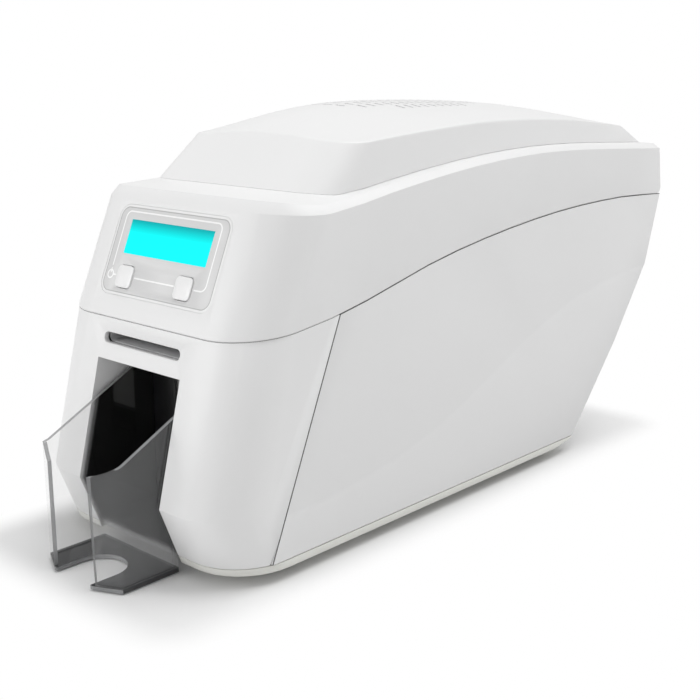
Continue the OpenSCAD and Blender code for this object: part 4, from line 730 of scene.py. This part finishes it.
# %% [markdown]
# ## Springs
# Two kinds of coil springs sit between parts that move against each other: a wide one lifts the
# pusher under the cards, and two small ones press the printhead down. A spring that only rode on
# one part would stick into the other when the joint moves. Each coil here is a copy with its corners
# merged, and it rides on the body of its solid.


def spring(name):
    mesh = bmesh.new()
    mesh.from_mesh(nodes[name].data)
    bmesh.ops.remove_doubles(mesh, verts=mesh.verts, dist=0.002 * MM)
    piece = ride_for(finish_mesh(mesh, name.replace("_", "-"), ground_steel), name)
    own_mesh(piece)


spring("pusher_spring")
spring("head_springs")

# %% [markdown]
# ## Long curves of the casing
# Seen from the side, the edges of the cover and the hood are long swept curves. Each is given by a
# few points, depth and height, and a cubic runs smoothly from one to the next. Sampling such a curve
# closely is what makes a moulded shell look moulded and not folded.

# %% Curves
DECK_LINE = ((34, 181.1), (62, 184.2), (100, 185.0), (150, 191.2), (210, 195.6), (265, 197.0),
             (345, 194.2), (382.8, 191.6))
HOOD_EDGE_LINE = ((50, 201), (88, 204.9), (150, 209.7), (210, 212.5), (280, 210.7), (348, 204.2),
                  (382.8, 199))
CROWN_LINE = ((50, 199), (85, 209.5), (131, 221), (185, 223), (279, 218.7), (348, 208), (382.8, 202))


def slope_at(line, k):
    before, after = line[max(k - 1, 0)], line[min(k + 1, len(line) - 1)]
    return (after[1] - before[1]) / (after[0] - before[0])


def height_on(line, depth):
    depth = min(max(depth, line[0][0]), line[-1][0])
    k = max(i for i in range(len(line) - 1) if line[i][0] <= depth)
    length = line[k + 1][0] - line[k][0]
    t = (depth - line[k][0]) / length
    return ((2 * t ** 3 - 3 * t * t + 1) * line[k][1] + (3 * t * t - 2 * t ** 3) * line[k + 1][1]
            + length * ((t ** 3 - 2 * t * t + t) * slope_at(line, k)
                        + (t ** 3 - t * t) * slope_at(line, k + 1)))


print("crown of the hood over the ribbon:", round(height_on(CROWN_LINE, 185), 1), "mm")

# %% [markdown]
# ## The hood
# The hood is a crowned lid with round front corners, sloping walls and a crisp top edge, and rows of
# short vent slots over the ribbon. A grid is the natural start, because its lines can be put just
# where the slots begin and end: deleting a grid face then opens a slot, with no boolean and no torn
# shading. First come its sizes. HALF is half a width, the TOP sizes are those of the crisp edge, and
# the others those of the foot on the deck. The walls lean in by ten degrees, the front by 48. Across
# the hood its top falls from the crown to the edge as a parabola does.

# %% Sizes of the hood
HOOD_HALF, HOOD_ROUND, HOOD_FRONT, HOOD_BACK = 65.5, 21.0, 60.0, 368.2
TOP_HALF = HOOD_HALF - 22 * math.tan(math.radians(10))
TOP_FRONT, TOP_BACK = HOOD_FRONT + 22.5 * math.tan(math.radians(48)), 349.5
EDGE_ROUND = 1.3
inner_round = HOOD_ROUND - EDGE_ROUND
core_half, core_front, core_back = (
    TOP_HALF - HOOD_ROUND, TOP_FRONT + HOOD_ROUND, TOP_BACK - HOOD_ROUND)


def hood_height(x, depth):
    crown, edge = height_on(CROWN_LINE, depth), height_on(HOOD_EDGE_LINE, depth)
    return crown - (crown - edge) * (x / TOP_HALF) ** 2


print("top of the hood:", round(2 * TOP_HALF, 1), "by", round(TOP_BACK - TOP_FRONT, 1), "mm")

# %% [markdown]
# The hood's foot follows the deck of the cover, which is curved both ways. The surest way to meet it
# is to look straight down on it from above the foot: a BVH tree answers where such a ray first
# meets the cover's mesh. Past the deck's rim, where no ray meets it, the deck's own line is used.

# %% Deck under the hood
ABOVE, HAIR = 230.0, 0.2
deck_mesh = bmesh.new()
deck_mesh.from_mesh(nodes["cover_shell"].data)
deck = BVHTree.FromBMesh(deck_mesh)
deck_mesh.free()


def on_deck(x, depth):
    """A place a hair above the cover's deck."""
    place = deck.ray_cast(at(x, depth, ABOVE), Vector((0.0, 0.0, -1.0)))[0]
    return place + Vector((0, 0, HAIR * MM)) if place else at(x, depth, height_on(DECK_LINE, depth))


print("deck under the front of the hood:", round(on_deck(0, HOOD_FRONT).z / MM, 1), "mm high")

# %% [markdown]
# The slots stand in rows across the hood, and webs cut each row into dashes. `side_lines` are the
# grid's lines along the hood, mirrored about the middle, and `rows` its lines across: each has a depth
# and the half width of the hood there, which grows round the front corners in steps of nine degrees.

# %% Lines of the grid
VENT_MIDDLE, VENT_PITCH, VENT_SLOT, VENT_HALF, VENT_SIDE_ROWS = 192.6, 7.0, 1.8, 37.0, 8
WEBS = ((3.5, 6.0), (13.0, 15.5), (22.5, 25.0), (32.0, 34.5))
web_sides = [side for web in WEBS for side in web]
side_places = [0.0, 38.0, 42.0, 48.0, 54.0, *web_sides, TOP_HALF - EDGE_ROUND]
side_lines = sorted({round(sign * place, 3) for sign in (-1, 1) for place in side_places})

vent_rows = [VENT_MIDDLE + k * VENT_PITCH for k in range(-VENT_SIDE_ROWS, VENT_SIDE_ROWS + 1)]
slot_edges = [edge for row in vent_rows for edge in (row, row + VENT_SLOT)]
front_turns = [math.radians(9 * step) for step in range(11)]
rows = [(core_front - inner_round * math.cos(turn), core_half + inner_round * math.sin(turn))
        for turn in front_turns]
rows += [(depth, TOP_HALF - EDGE_ROUND) for depth in (
    112.0, 118.0, 124.0, 130.0, *slot_edges,
    256.0, 263.5, 271.0, 280.0, 289.0, 298.0, 307.0, 316.0,
    core_back, 333.0, 341.0, TOP_BACK - EDGE_ROUND)]
print("grid of", len(side_lines), "lines along and", len(rows), "across")

# %% [markdown]
# The grid is made flat and square, and each corner then goes to its place on the crown. It also keeps
# two more places in layers of the mesh: the crest, where the top and the wall would meet if the edge
# were sharp, and the foot below it. Both lie in the same direction from the core, a smaller
# rectangle inside the hood, which is what makes the corners round.

# %% Top of the hood
hood_mesh = bmesh.new()
bmesh.ops.create_grid(
    hood_mesh, x_segments=len(side_lines) - 1, y_segments=len(rows) - 1, size=1.0)
crest_place = hood_mesh.verts.layers.float_vector.new("crest")
foot_place = hood_mesh.verts.layers.float_vector.new("foot")
foot_stretch = (HOOD_BACK - HOOD_FRONT - 2 * HOOD_ROUND) / (core_back - core_front)
seat = {}
for corner in hood_mesh.verts:
    i = round((corner.co.x + 1) * (len(side_lines) - 1) / 2)
    j = round((corner.co.y + 1) * (len(rows) - 1) / 2)
    seat[corner] = (i, j)
    depth, half = rows[j]
    x = side_lines[i] * half / (TOP_HALF - EDGE_ROUND)
    core_x = min(max(x, -core_half), core_half)
    core_y = min(max(depth, core_front), core_back)
    out_x = (x - core_x) * HOOD_ROUND / inner_round
    out_y = (depth - core_y) * HOOD_ROUND / inner_round
    crest_x, crest_y = core_x + out_x, core_y + out_y
    foot_x = core_x * (HOOD_HALF - HOOD_ROUND) / core_half + out_x
    foot_y = HOOD_FRONT + HOOD_ROUND + (core_y - core_front) * foot_stretch + out_y
    corner.co = at(x, depth, hood_height(x, depth))
    corner[crest_place] = at(crest_x, crest_y, hood_height(crest_x, crest_y))
    corner[foot_place] = on_deck(foot_x, foot_y)
print("top of the hood has", len(hood_mesh.faces), "faces")

# %% [markdown]
# A grid face opens a slot if its row is as deep as a slot, its column is not a web, and it lies inside
# the oval field. The rim is noted first, because afterwards the slots' edges are boundaries as well.

# %% Vent slots
rim = [edge for edge in hood_mesh.edges if edge.is_boundary]
slots = []
for face in hood_mesh.faces:
    columns = [side_lines[seat[corner][0]] for corner in face.verts]
    depths = [rows[seat[corner][1]][0] for corner in face.verts]
    row = (min(depths) - VENT_MIDDLE) / VENT_PITCH
    reach = VENT_HALF * math.sqrt(max(0.0, 1 - (row / (VENT_SIDE_ROWS + 1)) ** 2))
    column = abs(min(columns) + max(columns)) / 2
    is_web = any(abs(column - (a + b) / 2) < 0.01 for a, b in WEBS)
    is_slot_row = abs(max(depths) - min(depths) - VENT_SLOT) < 0.01
    if is_slot_row and not is_web and max(map(abs, columns)) < reach:
        slots.append(face)
bmesh.ops.delete(hood_mesh, geom=slots, context="FACES_ONLY")
print(len(slots), "slots in", len(vent_rows), "rows")

# %% [markdown]
# The rim is extruded in four small steps round the edge and then down to the deck. An extrusion
# copies the layers along, so every new corner knows its crest and foot, and a quadratic curve from
# the top over the crest to a place on the wall gives the round of the edge. A solidify modifier then
# grows the wall inwards, a bevel breaks the slots' edges by a hair, and weighted normals let the large
# faces decide the shading, so they stay flat.

# %% Edge and walls of the hood
STEPS = 4
top_place = hood_mesh.verts.layers.float_vector.new("top")
for corner in {corner for edge in rim for corner in edge.verts}:
    corner[top_place] = corner.co
for step in range(1, STEPS + 2):
    made = bmesh.ops.extrude_edge_only(hood_mesh, edges=rim)["geom"]
    rim = [part for part in made if isinstance(part, bmesh.types.BMEdge)]
    for corner in (part for part in made if isinstance(part, bmesh.types.BMVert)):
        top, crest, foot = (Vector(corner[layer]) for layer in (top_place, crest_place, foot_place))
        below = crest + (foot - crest).normalized() * EDGE_ROUND * MM
        t = step / STEPS
        corner.co = foot if step > STEPS else top.lerp(crest, t).lerp(crest.lerp(below, t), t)
bmesh.ops.recalc_face_normals(hood_mesh, faces=hood_mesh.faces)
if sum(face.normal.z for face in hood_mesh.faces) < 0:
    bmesh.ops.reverse_faces(hood_mesh, faces=hood_mesh.faces)

hood = finish_mesh(hood_mesh, "vented-hood", white_plastic)
thicken(hood, WALL)
round_edges(hood, "edge break", 0.2, 1, 50)
hood.modifiers.new("flat faces stay flat", "WEIGHTED_NORMAL")
ride_for(hood, "hood")
print("hood:", len(hood.data.polygons), "faces before its wall")

# %% [markdown]
# ## The floor
# The printer stands on a plain white sweep. Its floor is a plain diffuse surface that keeps the
# shadow near the machine, and a little further away it turns into the same white that the camera
# sees behind it. Light Path tells a camera ray from the rays that light the machine, so this white
# adds no light of its own. The distance is counted from a rectangle about the size of the machine.

# %% Floor
FOOTPRINT_HALF, FOOTPRINT_REACH, FOOTPRINT_SHIFT = 66.0, 196.0, 8.0
FADE_FROM, FADE_TO = 4.0, 34.0
floor_mesh = bmesh.new()
bmesh.ops.create_grid(floor_mesh, x_segments=1, y_segments=1, size=6.0)

sweep = Finish("white sweep", (0.8, 0.8, 0.8), 0.9)
away = length2(
    (abs(sweep.along((1, 0, 0))) - FOOTPRINT_HALF).larger(0.0),
    (abs(sweep.along((0, 1, 0)) + FOOTPRINT_SHIFT) - FOOTPRINT_REACH).larger(0.0))
far = sweep.node("ShaderNodeMapRange", {"clamp": True, "interpolation_type": "SMOOTHSTEP"}, {
    "Value": away, "From Min": FADE_FROM, "From Max": FADE_TO, "To Min": 0.0, "To Max": 1.0})
rays = sweep.tree.nodes.new("ShaderNodeLightPath")
seen = sum((Wire(sweep, rays.outputs[ray]) for ray in (
    "Is Camera Ray", "Is Glossy Ray", "Is Transmission Ray")), 0.0).smaller(1.0)
glow = sweep.node("ShaderNodeEmission", {}, {})
skin = Wire(sweep, sweep.shader.outputs[0])
mixed = sweep.node("ShaderNodeMixShader", {}, {0: seen * far, 1: skin, 2: glow})
sweep.tree.links.new(mixed.socket, sweep.tree.nodes["Material Output"].inputs["Surface"])

floor = finish_mesh(floor_mesh, "floor", sweep)
print("floor is white beyond", FADE_TO, "mm from that rectangle")

# %% [markdown]
# ## The world
# An even grey sky lights the machine from all round. The camera sees plain white in its place, and
# so does a ray that comes through clear plastic, with the same trick as on the floor.

# %% World
SKY_LEVEL = 0.56
world = bpy.data.worlds.new("studio")
bpy.context.scene.world = world
world.use_nodes = True
sky = world.node_tree
background = sky.nodes["Background"]
background.inputs["Color"].default_value = (SKY_LEVEL, SKY_LEVEL, SKY_LEVEL, 1.0)
white_back = sky.nodes.new("ShaderNodeBackground")
white_back.inputs["Color"].default_value = (1.0, 1.0, 1.0, 1.0)
paths = sky.nodes.new("ShaderNodeLightPath")
either = sky.nodes.new("ShaderNodeMath")
either.operation = "MAXIMUM"
back_mix = sky.nodes.new("ShaderNodeMixShader")
sky.links.new(paths.outputs["Is Camera Ray"], either.inputs[0])
sky.links.new(paths.outputs["Is Transmission Ray"], either.inputs[1])
sky.links.new(either.outputs[0], back_mix.inputs[0])
sky.links.new(background.outputs[0], back_mix.inputs[1])
sky.links.new(white_back.outputs[0], back_mix.inputs[2])
sky.links.new(back_mix.outputs[0], sky.nodes["World Output"].inputs["Surface"])
print("sky level", SKY_LEVEL)

# %% [markdown]
# ## The lamps
# A soft lamp stands to the left of the front, so the front is lighter than the long side. A second
# one hangs high above the rear and lights the deck and the hood. Both are wide, which keeps the
# shadows' edges soft, and both point at the middle of the machine.

# %% Lamps
AIM = Vector((0, 0, 0.1))


def soft_lamp(name, place, power, size):
    data = bpy.data.lights.new(name, "AREA")
    data.energy = power
    data.size = size
    lamp = bpy.data.objects.new(name, data)
    lamp.location = place
    lamp.rotation_euler = (Vector(place) - AIM).to_track_quat("Z", "Y").to_euler()
    bpy.context.scene.collection.objects.link(lamp)
    print("lamp", name, "of", power, "W")


soft_lamp("key", (-1.7, -2.6, 1.0), 32.0, 1.6)
soft_lamp("top", (0.6, 0.9, 2.8), 50.0, 2.0)
